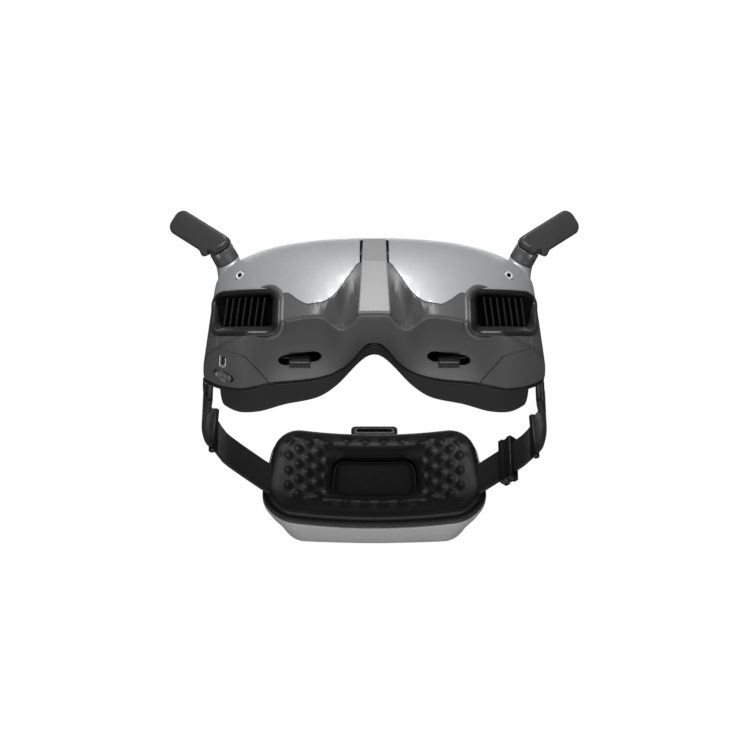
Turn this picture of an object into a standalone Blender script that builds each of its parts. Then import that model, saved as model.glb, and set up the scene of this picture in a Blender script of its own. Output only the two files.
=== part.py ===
"""First-person-view goggles with a battery headband, as separate solid parts.

Axes: +X to the wearer's left, -Y out of the front face, +Z up.
Origin: on the floor, under the middle of the whole object.
All sizes below are in millimetres and measured from the eye point, which is midway between
the eyes at the plane where the front face's curve meets the straight side walls; solid()
turns them into metres and stand_on_floor() moves the eye point to its place.
"""
import math

import bmesh
import bpy
from mathutils import Matrix, Vector

MM = 0.001
GAP = 0.3
EYE_POINT = Vector((0.0, -45.5, 34.22))

# ---- housing shape ----
BASE_Z = -34.0
FRONT_DEPTH = 62.0
CROWN_POWER = 2.7
PLAN_POWER_X = 2.3
PLAN_POWER_Y = 2.1
TOP_MIDDLE = 37.0
TOP_DROP = 9.0
TOP_POWER_X = 5.0
TOP_POWER_Z = 2.2
SIDE_MEAN = 81.8
SIDE_SLOPE = 0.077
WALL = 1.8
CREASE_RADIUS = 2.5
CORNER_START = 60.0
CORNER_RUN = 25.0
CORNER_RISE = 15.0
CORNER_POWER = 1.7
VALLEY_X = 15.5
VALLEY_WIDTH = 5.0
VALLEY_DEPTH = 12.0

# Lower edge of the hood, as (distance from the middle, height).
HOOD_EDGE = [(0, 0), (7, -1.5), (12, -10), (18, -20.5), (24, -25.4), (31, -26), (36, -22.5),
             (42, -16.6), (46, -17.0), (50, -15.8), (57, -11.4), (64.5, -5.8), (71, 0.4), (76.5, 5.2),
             (79, 8), (90, 8)]

# ---- nose ridge: path down the middle as (y, z, half width) ----
RIDGE_PATH = [(-49.4, 19.9, 4.8), (-60.0, -1.6, 5.5), (-64.0, -33.9, 7.4), (-43.0, -31.6, 7.6)]
RIDGE_THICK = 2.6
RIDGE_SLOT_HALF = 7.0

# ---- side vents ----
VENT_TILT = math.radians(35)
VENT_X = 61.8
VENT_HALF_WIDE = 17.0
VENT_HALF_HIGH = 10.4
VENT_RADIUS = 6.0
VENT_UP = 8.8
VENT_WALL = 1.4
VENT_DEPTH = 11.0
VENT_OUTSIDE = -80.0
VENT_INSIDE = -8.0
SLATS = 7
SLAT_PITCH = 3.3
SLAT_THICK = 0.9
GRILLE_THICK = 3.0
SCREW_R = 2.3
SCREW_SHARE = 0.805
SCREW_Z = 8.6
SCREW_OUT = Vector((0.40, -0.86, -0.10)).normalized()

# ---- eye modules ----
EYE_X = 32.0
BARREL_R = 18.5
BARREL_WALL = 1.8
BARREL_FRONT = -30.0
BARREL_REAR = -1.5
EYE_TRAVEL = 4.0
KNOB_X = 36.0
KNOB_Y = -18.3
KNOB_HALF = 5.2
KNOB_DEEP = 3.4
KNOB_STEM_HALF = 4.6
KNOB_STEM_DEEP = 1.8
KNOB_TOP = -29.4
KNOB_LOW = -32.9
SLOT_HALF_LONG = 10.6
SLOT_HALF_WIDE = 4.0
SLOT_SLANT = math.radians(11)

# ---- electronics ----
HEAT_FINS = 12
FAN_HALF = 14.5
FAN_FRONT = -48.4
FAN_DEEP = 9.0
FAN_BLADES = 7
USB_POINT = Vector((-72.8, -19.0, -29.5))
USB_OUT = Vector((-0.33, -0.20, -0.92))
USB_LONG = Vector((0.0, 1.0, 0.0))
USB_HALF_WIDE = 1.8
USB_HALF_LONG = 4.3
STICK_CENTRE = Vector((-73.2, -6.4, -29.9))
STICK_OUT = Vector((-0.45, -0.15, -0.88))
STICK_LONG = Vector((0.86, 0.22, -0.47))
STICK_HALF_LONG = 4.5
STICK_HALF_WIDE = 3.7

# ---- rear rim and face pad ----
RIM_MID_Z = 3.0
RIM_HALF_HIGH = 34.0
FRAME_THICK = 3.0
FRAME_LIFT = 0.9
FRAME_WIDE = 9.5
PLATE_HALF = 57.5
PLATE_TOP = 29.0
PLATE_LIFT = 4.0
PLATE_Y = -16.15
SENSOR_Z = 18.0
PAD_START = 6.5
PAD_WALL = 9.0

# ---- antennas ----
ANTENNA_PIVOT = Vector((76.6, -17.5, 39.0))
ANTENNA_AXIS = Vector((0.45, -0.74, 0.50)).normalized()
ANTENNA_DIR = Vector((0.75, 0.10, 0.65)).normalized()
ANTENNA_FACE = Vector((-0.38, 0.87, 0.31))
NECK_R = 6.3
NECK_LONG = 7.5
BOSS_ROOT = Vector((70.6, -9.0, 22.0))
BOSS_ROOT_AXIS = Vector((0.25, -0.15, 0.95))
BOSS_ROOT_R = 8.6
KNUCKLE_LONG = 3.4
CLEAR_R = 13.0
PADDLE_LIFT = 0.6
PADDLE_BACK = 3.4
PADDLE_LONG = 35.2
PADDLE_HALF = 6.6
PADDLE_THICK = 4.0
PADDLE_CORNER = 4.6
HEEL_DEEP = 1.6
HEEL_LONG = 13.0
HEEL_RAMP = 3.7

# ---- headband: plan paths are (x, y) for the wearer's left ----
BAND_PIVOT_Y = 14.0
BAND_PIVOT_Z = -8.0
PIN_R = 2.0
EAR_INNER_X = 78.4
EAR_OUTER_X = 80.2
EAR_FRONT_Y = 10.4
ANCHOR_PATH = [(82.0, 11.0), (82.0, 20.0), (82.6, 31.0), (83.8, 42.0)]
ANCHOR_EDGES = [(-10.6, -5.4), (-13.0, -3.0), (-15.0, -0.5), (-16.0, 1.0)]
ANCHOR_THICK = 2.4
FRONT_STRAP_PATH = [(83.95, 42.4), (86.4, 52.0), (87.2, 62.0), (86.2, 71.0), (84.4, 75.6)]
FRONT_STRAP_EDGES = [(-16.0, 1.0), (-16.6, 2.6), (-17.2, 4.2), (-17.8, 5.4), (-18.0, 6.0)]
STRAP_BAR = (83.2, 78.0)
STRAP_BAR_R = 1.8
STRAP_BAR_LOW = -19.0
STRAP_BAR_HIGH = 7.0
REAR_STRAP_PATH = [(81.9, 80.6), (79.8, 86.4), (75.6, 93.2), (60.0, 110.4)]
REAR_STRAP_EDGES = [(-17.5, 1.5), (-17.5, 1.0), (-18.5, 0.0), (-20.8, -2.4)]
LET_OUT = {"right": 0.0, "left": 5.6}
BAND_THICK = 2.0
BUCKLE_ALONG = 7.6
BUCKLE_Z = -10.1
BUCKLE_HALF_LONG = 4.4
BUCKLE_HALF_THICK = 3.0
BUCKLE_HALF_HIGH = 13.2
BUCKLE_RIM = 2.7

# ---- rear battery pack ----
PACK_HALF = 60.0
PAD_TOP = 24.4
COVER_TOP = 25.0
PACK_BOTTOM = -33.0
PACK_CORNER = 17.0
PACK_CURVE = 10.0
PACK_TAPER = 0.1
TAPER_POWER = 1.5
PAD_BACK_Y = 128.4
FRAME_FRONT_Y = 128.8
COVER_FRONT_Y = 131.8
COVER_BACK_Y = 155.0
COVER_WALL = 2.2
WINDOW_HALF_WIDE = 22.6
WINDOW_HALF_HIGH = 11.9
WINDOW_RADIUS = 6.5
WINDOW_Z = -5.0
WINDOW_NARROWING = 0.05
CELL_Y = 139.4
CELL_R = 9.0
CELL_HALF_LONG = 32.5
CELL_HEIGHTS = (-14.4, 5.2)
POWER_X = 36.0
POWER_Z = -4.0
POWER_R = 6.0
LOOP_Z = 30.0


# ---------------------------------------------------------------- small maths
def clamp01(value):
    return max(0.0, min(1.0, value))


def smoothstep(value):
    t = clamp01(value)
    return t * t * (3 - 2 * t)


def through(points, x):
    """Smooth curve through (x, value) points that never overshoots them."""
    if x <= points[0][0]:
        return points[0][1]
    if x >= points[-1][0]:
        return points[-1][1]
    i = next(k for k in range(len(points) - 1) if points[k + 1][0] >= x)
    (x0, v0), (x1, v1) = points[i], points[i + 1]
    span = x1 - x0
    slope = (v1 - v0) / span
    before = slope if i == 0 else (v0 - points[i - 1][1]) / (x0 - points[i - 1][0])
    after = slope if i + 2 == len(points) else (points[i + 2][1] - v1) / (points[i + 2][0] - x1)
    m0 = 0.0 if before * slope <= 0 else 2 * before * slope / (before + slope)
    m1 = 0.0 if after * slope <= 0 else 2 * after * slope / (after + slope)
    t = (x - x0) / span
    a = (2 * t**3 - 3 * t**2 + 1) * v0 + (t**3 - 2 * t**2 + t) * span * m0
    return a + (3 * t**2 - 2 * t**3) * v1 + (t**3 - t**2) * span * m1


# ---------------------------------------------------------------- building blocks
def material(name, color, rough=0.5, metal=0.0, alpha=1.0):
    mat = bpy.data.materials.get(name)
    if mat:
        return mat
    mat = bpy.data.materials.new(name)
    mat.use_nodes = True
    shader = mat.node_tree.nodes["Principled BSDF"]
    shader.inputs["Base Color"].default_value = (*color, 1.0)
    shader.inputs["Roughness"].default_value = rough
    shader.inputs["Metallic"].default_value = metal
    shader.inputs["Alpha"].default_value = alpha
    return mat


MATERIALS = {
    "hood_grey": ((0.42, 0.43, 0.44), 0.42, 0.25),
    "shell_grey": ((0.13, 0.13, 0.135), 0.5, 0.0),
    "ridge_grey": ((0.30, 0.30, 0.31), 0.5, 0.0),
    "black_plastic": ((0.02, 0.02, 0.022), 0.5, 0.0),
    "vent_black": ((0.012, 0.012, 0.013), 0.45, 0.0),
    "foam": ((0.03, 0.03, 0.032), 0.85, 0.0),
    "webbing": ((0.028, 0.028, 0.03), 0.8, 0.0),
    "pad_rubber": ((0.025, 0.025, 0.027), 0.6, 0.0),
    "pack_grey": ((0.20, 0.20, 0.21), 0.45, 0.1),
    "antenna_grey": ((0.06, 0.06, 0.062), 0.45, 0.0),
    "steel": ((0.72, 0.72, 0.74), 0.25, 1.0),
    "aluminium": ((0.60, 0.61, 0.63), 0.35, 1.0),
    "lens_glass": ((0.55, 0.60, 0.66), 0.05, 0.0),
    "display_glass": ((0.01, 0.01, 0.015), 0.1, 0.0),
    "board_green": ((0.02, 0.10, 0.05), 0.5, 0.0),
    "cell_wrap": ((0.05, 0.12, 0.30), 0.4, 0.0),
}


def solid(name, bm, mat, origin=(0, 0, 0), smooth_angle=35.0):
    """Turn a millimetre bmesh into an object whose origin is at the given point."""
    origin = Vector(origin)
    bmesh.ops.transform(bm, matrix=Matrix.Translation(-origin), verts=bm.verts)
    bmesh.ops.scale(bm, vec=(MM, MM, MM), verts=bm.verts)
    bmesh.ops.remove_doubles(bm, verts=bm.verts, dist=1e-6)
    bmesh.ops.recalc_face_normals(bm, faces=bm.faces)
    if bm.calc_volume(signed=True) < 0:
        bmesh.ops.reverse_faces(bm, faces=bm.faces)
    mesh = bpy.data.meshes.new(name)
    bm.to_mesh(mesh)
    bm.free()
    mesh.materials.append(material(mat, *MATERIALS[mat]))
    mesh.shade_smooth()
    mesh.set_sharp_from_angle(angle=math.radians(smooth_angle))
    obj = bpy.data.objects.new(name, mesh)
    bpy.context.collection.objects.link(obj)
    obj.location = origin * MM
    return obj


def boolean(obj, cutter, operation):
    """Apply an exact boolean and leave the cutter hidden from the build."""
    mod = obj.modifiers.new(operation.title(), "BOOLEAN")
    mod.operation = operation
    mod.object = cutter
    mod.solver = "EXACT"
    cutter.hide_render = True
    cutter.display_type = "WIRE"


def guide(name, bm):
    """A cutter: a solid that only shapes other parts."""
    bmesh.ops.triangulate(bm, faces=bm.faces)
    obj = solid(name, bm, "black_plastic")
    obj.hide_render = True
    obj.display_type = "WIRE"
    return obj


def cut(obj, *cutters):
    for cutter in cutters:
        boolean(obj, cutter, "DIFFERENCE")


def keep(obj, cutter):
    boolean(obj, cutter, "INTERSECT")


def box_mesh(low, high, bevel=0.0):
    bm = bmesh.new()
    bmesh.ops.create_cube(bm, size=1.0)
    low, high = Vector(low), Vector(high)
    size = high - low
    bmesh.ops.scale(bm, vec=size, verts=bm.verts)
    bmesh.ops.translate(bm, vec=(low + high) / 2, verts=bm.verts)
    if bevel:
        bmesh.ops.bevel(bm, geom=bm.edges[:], offset=bevel, segments=1, affect="EDGES", profile=0.5)
    return bm


def along(axis):
    """Rotation that carries +Z onto the given axis."""
    return Vector((0, 0, 1)).rotation_difference(Vector(axis)).to_matrix().to_4x4()


def rod_mesh(start, end, r0, r1=None, sides=20):
    bm = bmesh.new()
    start, end = Vector(start), Vector(end)
    r1 = r0 if r1 is None else r1
    axis = end - start
    place = Matrix.Translation((start + end) / 2) @ along(axis)
    bmesh.ops.create_cone(bm, cap_ends=True, segments=sides, radius1=r0, radius2=r1,
                          depth=axis.length, matrix=place)
    return bm


def loops_mesh(loops, cap=True, closed=False):
    """Skin a list of equal-length closed loops; cap the ends or join the last to the first."""
    bm = bmesh.new()
    rings = [[bm.verts.new(p) for p in loop] for loop in loops]
    pairs = list(zip(rings, rings[1:]))
    if closed:
        pairs.append((rings[-1], rings[0]))
    count = len(rings[0])
    for a, b in pairs:
        for i in range(count):
            j = (i + 1) % count
            bm.faces.new((a[i], a[j], b[j], b[i]))
    if cap and not closed:
        bm.faces.new(rings[0])
        bm.faces.new(rings[-1])
    return bm


def turned_mesh(profile, place, sides=28):
    """Turn a closed (radius, height) profile about Z and put it in place: a ring."""
    loops = []
    for radius, height in profile:
        ring = []
        for i in range(sides):
            angle = 2 * math.pi * i / sides
            ring.append(place @ Vector((radius * math.cos(angle), radius * math.sin(angle), height)))
        loops.append(ring)
    return loops_mesh(loops, closed=True)


def rounded_rect(half_w, half_h, radius, steps=4):
    points = []
    corners = [(half_w - radius, half_h - radius, 0), (radius - half_w, half_h - radius, 90),
               (radius - half_w, radius - half_h, 180), (half_w - radius, radius - half_h, 270)]
    for cx, cy, start in corners:
        for k in range(steps + 1):
            angle = math.radians(start + 90 * k / steps)
            points.append((cx + radius * math.cos(angle), cy + radius * math.sin(angle)))
    return points


def prism_mesh(outline, place_low, place_high):
    """Straight prism between two placements of one flat outline."""
    low = [place_low(a, b) for a, b in outline]
    high = [place_high(a, b) for a, b in outline]
    return loops_mesh([low, high])


def ring_prism_mesh(outer, inner, place_low, place_high):
    """Straight tube between an outer and an inner outline with equal point counts."""
    loops = [[place_low(a, b) for a, b in outer], [place_high(a, b) for a, b in outer],
             [place_high(a, b) for a, b in inner], [place_low(a, b) for a, b in inner]]
    return loops_mesh(loops, closed=True)


def sides():
    """The wearer's right side is at -X."""
    return (("right", -1), ("left", 1))


def flip(sign, vec):
    return Vector((sign * vec[0], vec[1], vec[2]))


# ---------------------------------------------------------------- housing surface
def side_half_width(z):
    """Half-width of the housing: a little broader at the cheeks than at the temples."""
    return SIDE_MEAN - SIDE_SLOPE * z


def top_height(u):
    rolled = (1 - abs(u) ** TOP_POWER_X) ** (1 / TOP_POWER_Z)
    return TOP_MIDDLE - TOP_DROP * (1 - rolled)


def plan_depth(u):
    return FRONT_DEPTH * (1 - abs(u) ** PLAN_POWER_X) ** (1 / PLAN_POWER_Y)


def corner_rise(x):
    """How far the underside turns up towards the side walls."""
    t = clamp01((abs(x) - CORNER_START) / CORNER_RUN)
    return CORNER_RISE * (1 - (1 - t**CORNER_POWER) ** (1 / CORNER_POWER))


def valley(x, z):
    """Hollow between the nose ridge and the brow, below the hood's edge."""
    x = abs(x)
    edge = through(HOOD_EDGE, x)
    depth = smoothstep((edge - z) / (edge - BASE_Z)) * smoothstep((x - 6.5) / 3)
    return VALLEY_DEPTH * depth * math.exp(-(((x - VALLEY_X) / VALLEY_WIDTH) ** 2))


def front_point(u, z, inset=0.0):
    top = top_height(u) - inset
    s = clamp01((z - BASE_Z) / (top - BASE_Z))
    x = (side_half_width(z) - inset) * u
    depth = plan_depth(u) * (FRONT_DEPTH - inset) / FRONT_DEPTH
    y = -depth * (1 - s**CROWN_POWER) ** (1 / CROWN_POWER)
    return Vector((x, y + valley(x, z), z))


def crease_height(u, inset=0.0):
    return BASE_Z + corner_rise(SIDE_MEAN * u) + inset


def rim_point(u, inset=0.0):
    """Rear lower edge of the housing, arched over the nose."""
    a = SIDE_MEAN * abs(u)
    z = -30.5 + 14.1 / (1 + (a / 10) ** 3) - 2.3 * smoothstep((a - 46) / 18) + corner_rise(a) + inset
    y = -4 - 10 * math.exp(-((a / 18) ** 2)) + 9 * (a / SIDE_MEAN) ** 2
    return Vector(((side_half_width(z) - inset) * u, y, z))


def rim_top_y(u):
    return 1 + 5 * u * u


def belly(x):
    """Mid-height offset of the underside: proud at the nose, hollow under the brows."""
    x = abs(x)
    return (-4.5 + 8.0 * smoothstep(x / 28)) * (1 - smoothstep((x - 40) / 24))


def under_point(u, v, inset=0.0):
    """Underside from the front crease (v = 0) to the rear rim (v = 1)."""
    start = front_point(u, crease_height(u, inset), inset)
    end = rim_point(u, inset)
    point = start.lerp(end, v)
    point.z += 4 * belly(point.x) * v * (1 - v)
    return point


def column(u, inset, front_steps, under_steps, rear):
    """One section of the housing from the lower rim, round the front, to the upper rim."""
    crease = crease_height(u, inset)
    low = crease + CREASE_RADIUS
    top = top_height(u) - inset
    corner = under_point(u, 0.0, inset)
    floor_v = CREASE_RADIUS / (rim_point(u, inset) - corner).length
    steps = [1 - (1 - floor_v) * k / under_steps for k in range(under_steps)]
    under = [under_point(u, v, inset) for v in steps]
    under[0].y += rear
    wall = front_point(u, low, inset)
    floor = under_point(u, floor_v, inset)
    bend = []
    for k in range(3):
        t = k / 2
        bend.append(floor * (1 - t) ** 2 + corner * 2 * t * (1 - t) + wall * t * t)
    low_angle = math.asin(((low - BASE_Z) / (top - BASE_Z)) ** (CROWN_POWER / 2))
    front = []
    for k in range(1, front_steps + 1):
        angle = low_angle + (math.pi / 2 - low_angle) * k / front_steps
        z = BASE_Z + (top - BASE_Z) * math.sin(angle) ** (2 / CROWN_POWER)
        front.append(front_point(u, z, inset))
    end = front[-1].copy()
    end.y = rim_top_y(u) + rear
    return under + bend + front + [end]


def lateral_stations(count):
    return [math.sin(math.pi * (i / count - 0.5)) for i in range(count + 1)]


def housing_mesh(inset=0.0, rear=0.0, count=40, front_steps=10, under_steps=5):
    """Closed volume of the housing, optionally shrunk and stretched out at the back."""
    loops = [column(u, inset, front_steps, under_steps, rear) for u in lateral_stations(count)]
    bm = loops_mesh(loops)
    bmesh.ops.triangulate(bm, faces=bm.faces)
    return bm


def housing_blank(name, mat):
    """The full housing volume, to be trimmed to one moulding and then hollowed."""
    return solid(name, housing_mesh(), mat)


def hollow(part):
    """Leave a thin wall, open at the back."""
    cut(part, guide(part.name + "_core", housing_mesh(inset=WALL, rear=6.0)))


def edge_prism(name, above):
    """Everything above or below the hood's edge, as seen from the front."""
    xs = [-90 + 180 * i / 60 for i in range(61)]
    offset = GAP if above else -GAP
    limit = 60.0 if above else -60.0
    outline = [(x, through(HOOD_EDGE, abs(x)) + offset) for x in xs]
    outline += [(90.0, limit), (-90.0, limit)]
    return guide(name, prism_mesh(outline, lambda a, b: (a, -80, b), lambda a, b: (a, 30, b)))


# ---------------------------------------------------------------- vents
def vent_frame_axes():
    inward = Vector((0, math.cos(VENT_TILT), math.sin(VENT_TILT)))
    up = Vector((0, -math.sin(VENT_TILT), math.cos(VENT_TILT)))
    return inward, up


def vent_place(sign, depth):
    """Map a vent outline into space at a depth along the vent's tilted duct."""
    inward, up = vent_frame_axes()

    def place(a, b):
        return Vector((sign * (VENT_X + a), 0, 0)) + up * (VENT_UP + b) + inward * depth
    return place


def vent_outline(grow):
    return rounded_rect(VENT_HALF_WIDE + grow, VENT_HALF_HIGH + grow, VENT_RADIUS + grow)


def vent_opening(name, sign):
    """Straight cutter for the side opening, deep enough for the wall and no more."""
    return guide(name, prism_mesh(vent_outline(0.0), vent_place(sign, VENT_OUTSIDE),
                                  vent_place(sign, VENT_INSIDE)))


def vent_parts(side, sign):
    """Duct that frames the side opening, and the slatted grille inside it."""
    duct = solid(side + "_vent_frame", ring_prism_mesh(
        vent_outline(-GAP), vent_outline(-GAP - VENT_WALL),
        vent_place(sign, VENT_OUTSIDE), vent_place(sign, VENT_INSIDE - 1.5)), "vent_black")
    keep(duct, guide(side + "_vent_skin", housing_mesh(inset=-0.5)))
    cut(duct, guide(side + "_vent_back", housing_mesh(inset=VENT_DEPTH, rear=30.0)))
    solid(side + "_vent_grille", grille_mesh(sign), "vent_black")


def grille_edges(half):
    """Lines that divide the grille into slats and slots, across and up."""
    reach = (SLATS + 1) / 2 * SLAT_PITCH
    across = [-reach]
    for i in range(SLATS):
        centre = (i - (SLATS - 1) / 2) * SLAT_PITCH
        across += [centre - SLAT_THICK / 2, centre + SLAT_THICK / 2]
    across.append(reach)
    return across, [-half, -half + 1.0, half - 1.0, half]


def grille_mesh(sign):
    """A comb of upright slats between two rails, stepped back to follow the front face."""
    inward, up = vent_frame_axes()
    across, rows = grille_edges(VENT_HALF_HIGH - VENT_WALL - 5 * GAP)
    bm = bmesh.new()
    grid = {}
    for layer in (0, 1):
        for i, a in enumerate(across):
            front = front_point((VENT_X + a) / side_half_width(-12), -12)
            depth = front.dot(inward) + 6.5 + GRILLE_THICK * layer
            for j, b in enumerate(rows):
                point = Vector((sign * (VENT_X + a), 0, 0)) + up * (VENT_UP + b) + inward * depth
                grid[layer, i, j] = bm.verts.new(point)
    cells = {(i, j) for i in range(len(across) - 1) for j in range(3)
             if i % 2 == 1 or j != 1}
    sheet_faces(bm, grid, cells)
    return bm


def sheet_faces(bm, grid, cells):
    """Skin the chosen cells of a two-layer grid into one closed sheet with holes."""
    neighbours = {(-1, 0): ((0, 0), (0, 1)), (1, 0): ((1, 0), (1, 1)),
                  (0, -1): ((0, 0), (1, 0)), (0, 1): ((0, 1), (1, 1))}
    for i, j in sorted(cells):
        for layer in (0, 1):
            bm.faces.new([grid[layer, i, j], grid[layer, i + 1, j],
                          grid[layer, i + 1, j + 1], grid[layer, i, j + 1]])
        for (di, dj), (p, q) in neighbours.items():
            if (i + di, j + dj) in cells:
                continue
            a = (i + p[0], j + p[1])
            b = (i + q[0], j + q[1])
            bm.faces.new([grid[0, *a], grid[0, *b], grid[1, *b], grid[1, *a]])
    for vert in [v for v in bm.verts if not v.link_faces]:
        bm.verts.remove(vert)


# ---------------------------------------------------------------- housing shells
def ridge_slot(name):
    half = RIDGE_SLOT_HALF
    return guide(name, box_mesh((-half, -80, -24), (half, -40, 20.6)))


def corner_prism(name, sign, grow):
    """Plan outline of the corner cover, swept through the full height."""
    outline = [(100, -70), (79.4, -70), (79.4, -30), (73.2, -29.5), (61.8, -27.5),
               (50.8, 2), (50.8, 30), (100, 30)]
    outline = [(x - grow, y - grow) for x, y in outline]
    return guide(name, prism_mesh(outline, lambda a, b: (sign * a, b, -50),
                                  lambda a, b: (sign * a, b, 12)))


def screw_frame(sign):
    """Place and outward direction of the hood screw."""
    point = front_point(SCREW_SHARE, SCREW_Z)
    return flip(sign, point), flip(sign, SCREW_OUT)


def hood():
    part = housing_blank("hood", "hood_grey")
    keep(part, edge_prism("hood_side_of_edge", above=True))
    cut(part, ridge_slot("hood_ridge_slot"))
    for side, sign in sides():
        cut(part, vent_opening(side + "_hood_vent", sign))
        point, out = screw_frame(sign)
        cut(part, guide(side + "_screw_hole", rod_mesh(point - out * 8, point + out * 8, SCREW_R + GAP)))
        boolean(part, guide(side + "_neck_boss", boss_mesh(sign)), "UNION")
    hollow(part)


def neck_seat(sign):
    """Middle of the joint line between the hood's boss and the antenna neck."""
    return flip(sign, ANTENNA_PIVOT - ANTENNA_AXIS * NECK_LONG)


def boss_mesh(sign):
    """Tapered boss that carries the antenna neck on the hood's upper corner."""
    seat = neck_seat(1)
    waist = BOSS_ROOT.lerp(seat, 0.6)
    waist_axis = BOSS_ROOT_AXIS.lerp(ANTENNA_AXIS, 0.6)
    loops = []
    for centre, axis, radius in ((BOSS_ROOT, BOSS_ROOT_AXIS, BOSS_ROOT_R),
                                 (waist, waist_axis, NECK_R + 0.9), (seat, ANTENNA_AXIS, NECK_R)):
        turn = along(flip(sign, axis).normalized())
        loops.append([flip(sign, centre) + turn @ Vector((a, b, 0)) for a, b in ellipse(radius, radius, 20)])
    return loops_mesh(loops)


def lower_shell():
    part = housing_blank("lower_shell", "shell_grey")
    keep(part, edge_prism("shell_side_of_edge", above=False))
    cut(part, guide("shell_ridge_slot", ridge_mesh(3 * GAP, proud=6.0)))
    for side, sign in sides():
        cut(part, corner_prism(side + "_shell_corner", sign, GAP))
        cut(part, vent_opening(side + "_shell_vent", sign))
        cut(part, slot_guide(side, sign))
    hollow(part)


def slot_guide(side, sign):
    """Long slanted slot the eye-spacing knob runs in."""
    turn = Matrix.Rotation(sign * SLOT_SLANT, 2)
    centre = Vector((sign * KNOB_X, KNOB_Y))
    outline = [centre + turn @ Vector(p) for p in rounded_rect(SLOT_HALF_LONG, SLOT_HALF_WIDE, SLOT_HALF_WIDE - 0.1)]
    return guide(side + "_knob_slot", prism_mesh(outline, lambda a, b: (a, b, -40), lambda a, b: (a, b, -22)))


def corner_cover(side, sign):
    part = housing_blank(side + "_corner_cover", "shell_grey")
    keep(part, edge_prism(side + "_corner_below_edge", above=False))
    keep(part, corner_prism(side + "_corner_outline", sign, 0.0))
    cut(part, vent_opening(side + "_corner_vent", sign))
    if side == "right":
        cut(part, guide("socket_hole", usb_mesh(GAP, -9.0, 9.0)))
        place = stick_place()
        cut(part, guide("stick_hole", prism_mesh(
            ellipse(STICK_HALF_LONG + 0.5, STICK_HALF_WIDE + 0.5),
            lambda a, b: place @ Vector((a, b, -8)), lambda a, b: place @ Vector((a, b, 8)))))
    hollow(part)


def ridge_mesh(grow=0.0, proud=0.0):
    """Flat-topped bar that runs down the nose and folds under it."""
    loops = []
    last = len(RIDGE_PATH) - 1
    for i, (y, z, half) in enumerate(RIDGE_PATH):
        before = Vector(RIDGE_PATH[max(i - 1, 0)][:2])
        after = Vector(RIDGE_PATH[min(i + 1, last)][:2])
        run = (after - before).normalized()
        inward = Vector((-run.y, run.x))
        middle = Vector((y, z))
        if i in (0, last):
            middle += run * (grow if i else -grow)
        outer = middle - inward * proud
        inner = middle + inward * (RIDGE_THICK + grow)
        half += grow
        loops.append([Vector((-half, *outer)), Vector((half, *outer)),
                      Vector((half, *inner)), Vector((-half, *inner))])
    return loops_mesh(loops)


def hood_screw(side, sign):
    point, out = screw_frame(sign)
    head = solid(side + "_hood_screw", rod_mesh(point - out * 6, point + out * 0.4, SCREW_R), "steel")
    cut(head, guide(side + "_screw_socket", rod_mesh(point - out * 1.4, point + out * 2, 0.9, sides=6)))


# ---------------------------------------------------------------- rim, frame and face pad
def rim_loop(inset, lift, count=20, side_steps=5):
    """Closed loop round the housing's rear edge, shrunk towards its middle and moved back."""
    lower = [rim_point(u) for u in lateral_stations(count)]
    upper = []
    for u in lateral_stations(count):
        x = side_half_width(top_height(u)) * u
        upper.append(Vector((x, rim_top_y(u), top_height(u))))
    side = []
    low, high = lower[-1], upper[-1]
    for k in range(1, side_steps):
        z = low.z + (high.z - low.z) * k / side_steps
        side.append(Vector((side_half_width(z), low.y + (high.y - low.y) * k / side_steps, z)))
    other = [Vector((-p.x, p.y, p.z)) for p in reversed(side)]
    loop = lower + side + upper[::-1] + other
    wide = 1 - inset / SIDE_MEAN
    high = 1 - inset / RIM_HALF_HIGH
    return [Vector((p.x * wide, p.y + lift, RIM_MID_Z + (p.z - RIM_MID_Z) * high)) for p in loop]


def mid_frame():
    loops = [rim_loop(0.2, FRAME_LIFT), rim_loop(0.2, FRAME_LIFT + FRAME_THICK),
             rim_loop(FRAME_WIDE, FRAME_LIFT + FRAME_THICK), rim_loop(FRAME_WIDE, FRAME_LIFT)]
    solid("mid_frame", loops_mesh(loops, closed=True), "black_plastic")


def pad_reach(p):
    """How far back the face pad's edge stands at a point of the rim."""
    a = abs(p.x)
    lower = through([(0, 2), (10, 5), (18, 15), (29, 26), (46, 31.5), (60, 36), (72, 40), (84, 40)], a)
    upper = through([(0, 13), (20, 15), (45, 24), (65, 33), (80, 34)], a)
    return lower + (upper - lower) * smoothstep((p.z + 10) / 30)


def face_pad():
    """Soft ring that seals round the eyes, deeper at the temples than at the nose."""
    start = FRAME_LIFT + FRAME_THICK + GAP
    loops = [rim_loop(PAD_START, start)]
    for inset, depth in ((7.0, 0.85), (9.5, 1.0), (13.0, 0.97), (14.0, 0.7)):
        loop = rim_loop(inset, start)
        for p, edge in zip(loop, rim_loop(PAD_START, start)):
            p.y = edge.y + max(2.0, pad_reach(edge) - edge.y) * depth
        loops.append(loop)
    loops.append(rim_loop(PAD_WALL + 2.5, start))
    solid("face_pad", loops_mesh(loops, closed=True), "foam")


def face_plate():
    """Inner panel between the eyes and the wearer, with a window for each lens barrel."""
    xs = [PLATE_HALF * (i / 12 - 1) for i in range(25)]
    outline = [(x, rim_point(x / SIDE_MEAN).z + PLATE_LIFT) for x in xs]
    outline += [(PLATE_HALF, PLATE_TOP), (-PLATE_HALF, PLATE_TOP)]
    plate = solid("face_plate", prism_mesh(outline, lambda a, b: (a, PLATE_Y, b),
                                           lambda a, b: (a, PLATE_Y + 1.8, b)), "black_plastic")
    for side, sign in sides():
        half = BARREL_R + 0.8
        hole = rounded_rect(half + EYE_TRAVEL, half, half - 0.01, steps=8)
        cut(plate, guide(side + "_barrel_window", prism_mesh(
            hole, lambda a, b: (sign * EYE_X + a, -30, b), lambda a, b: (sign * EYE_X + a, 0, b))))
    cut(plate, guide("sensor_hole", rod_mesh((0, -30, SENSOR_Z), (0, 0, SENSOR_Z), 2.6, sides=16)))


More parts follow.
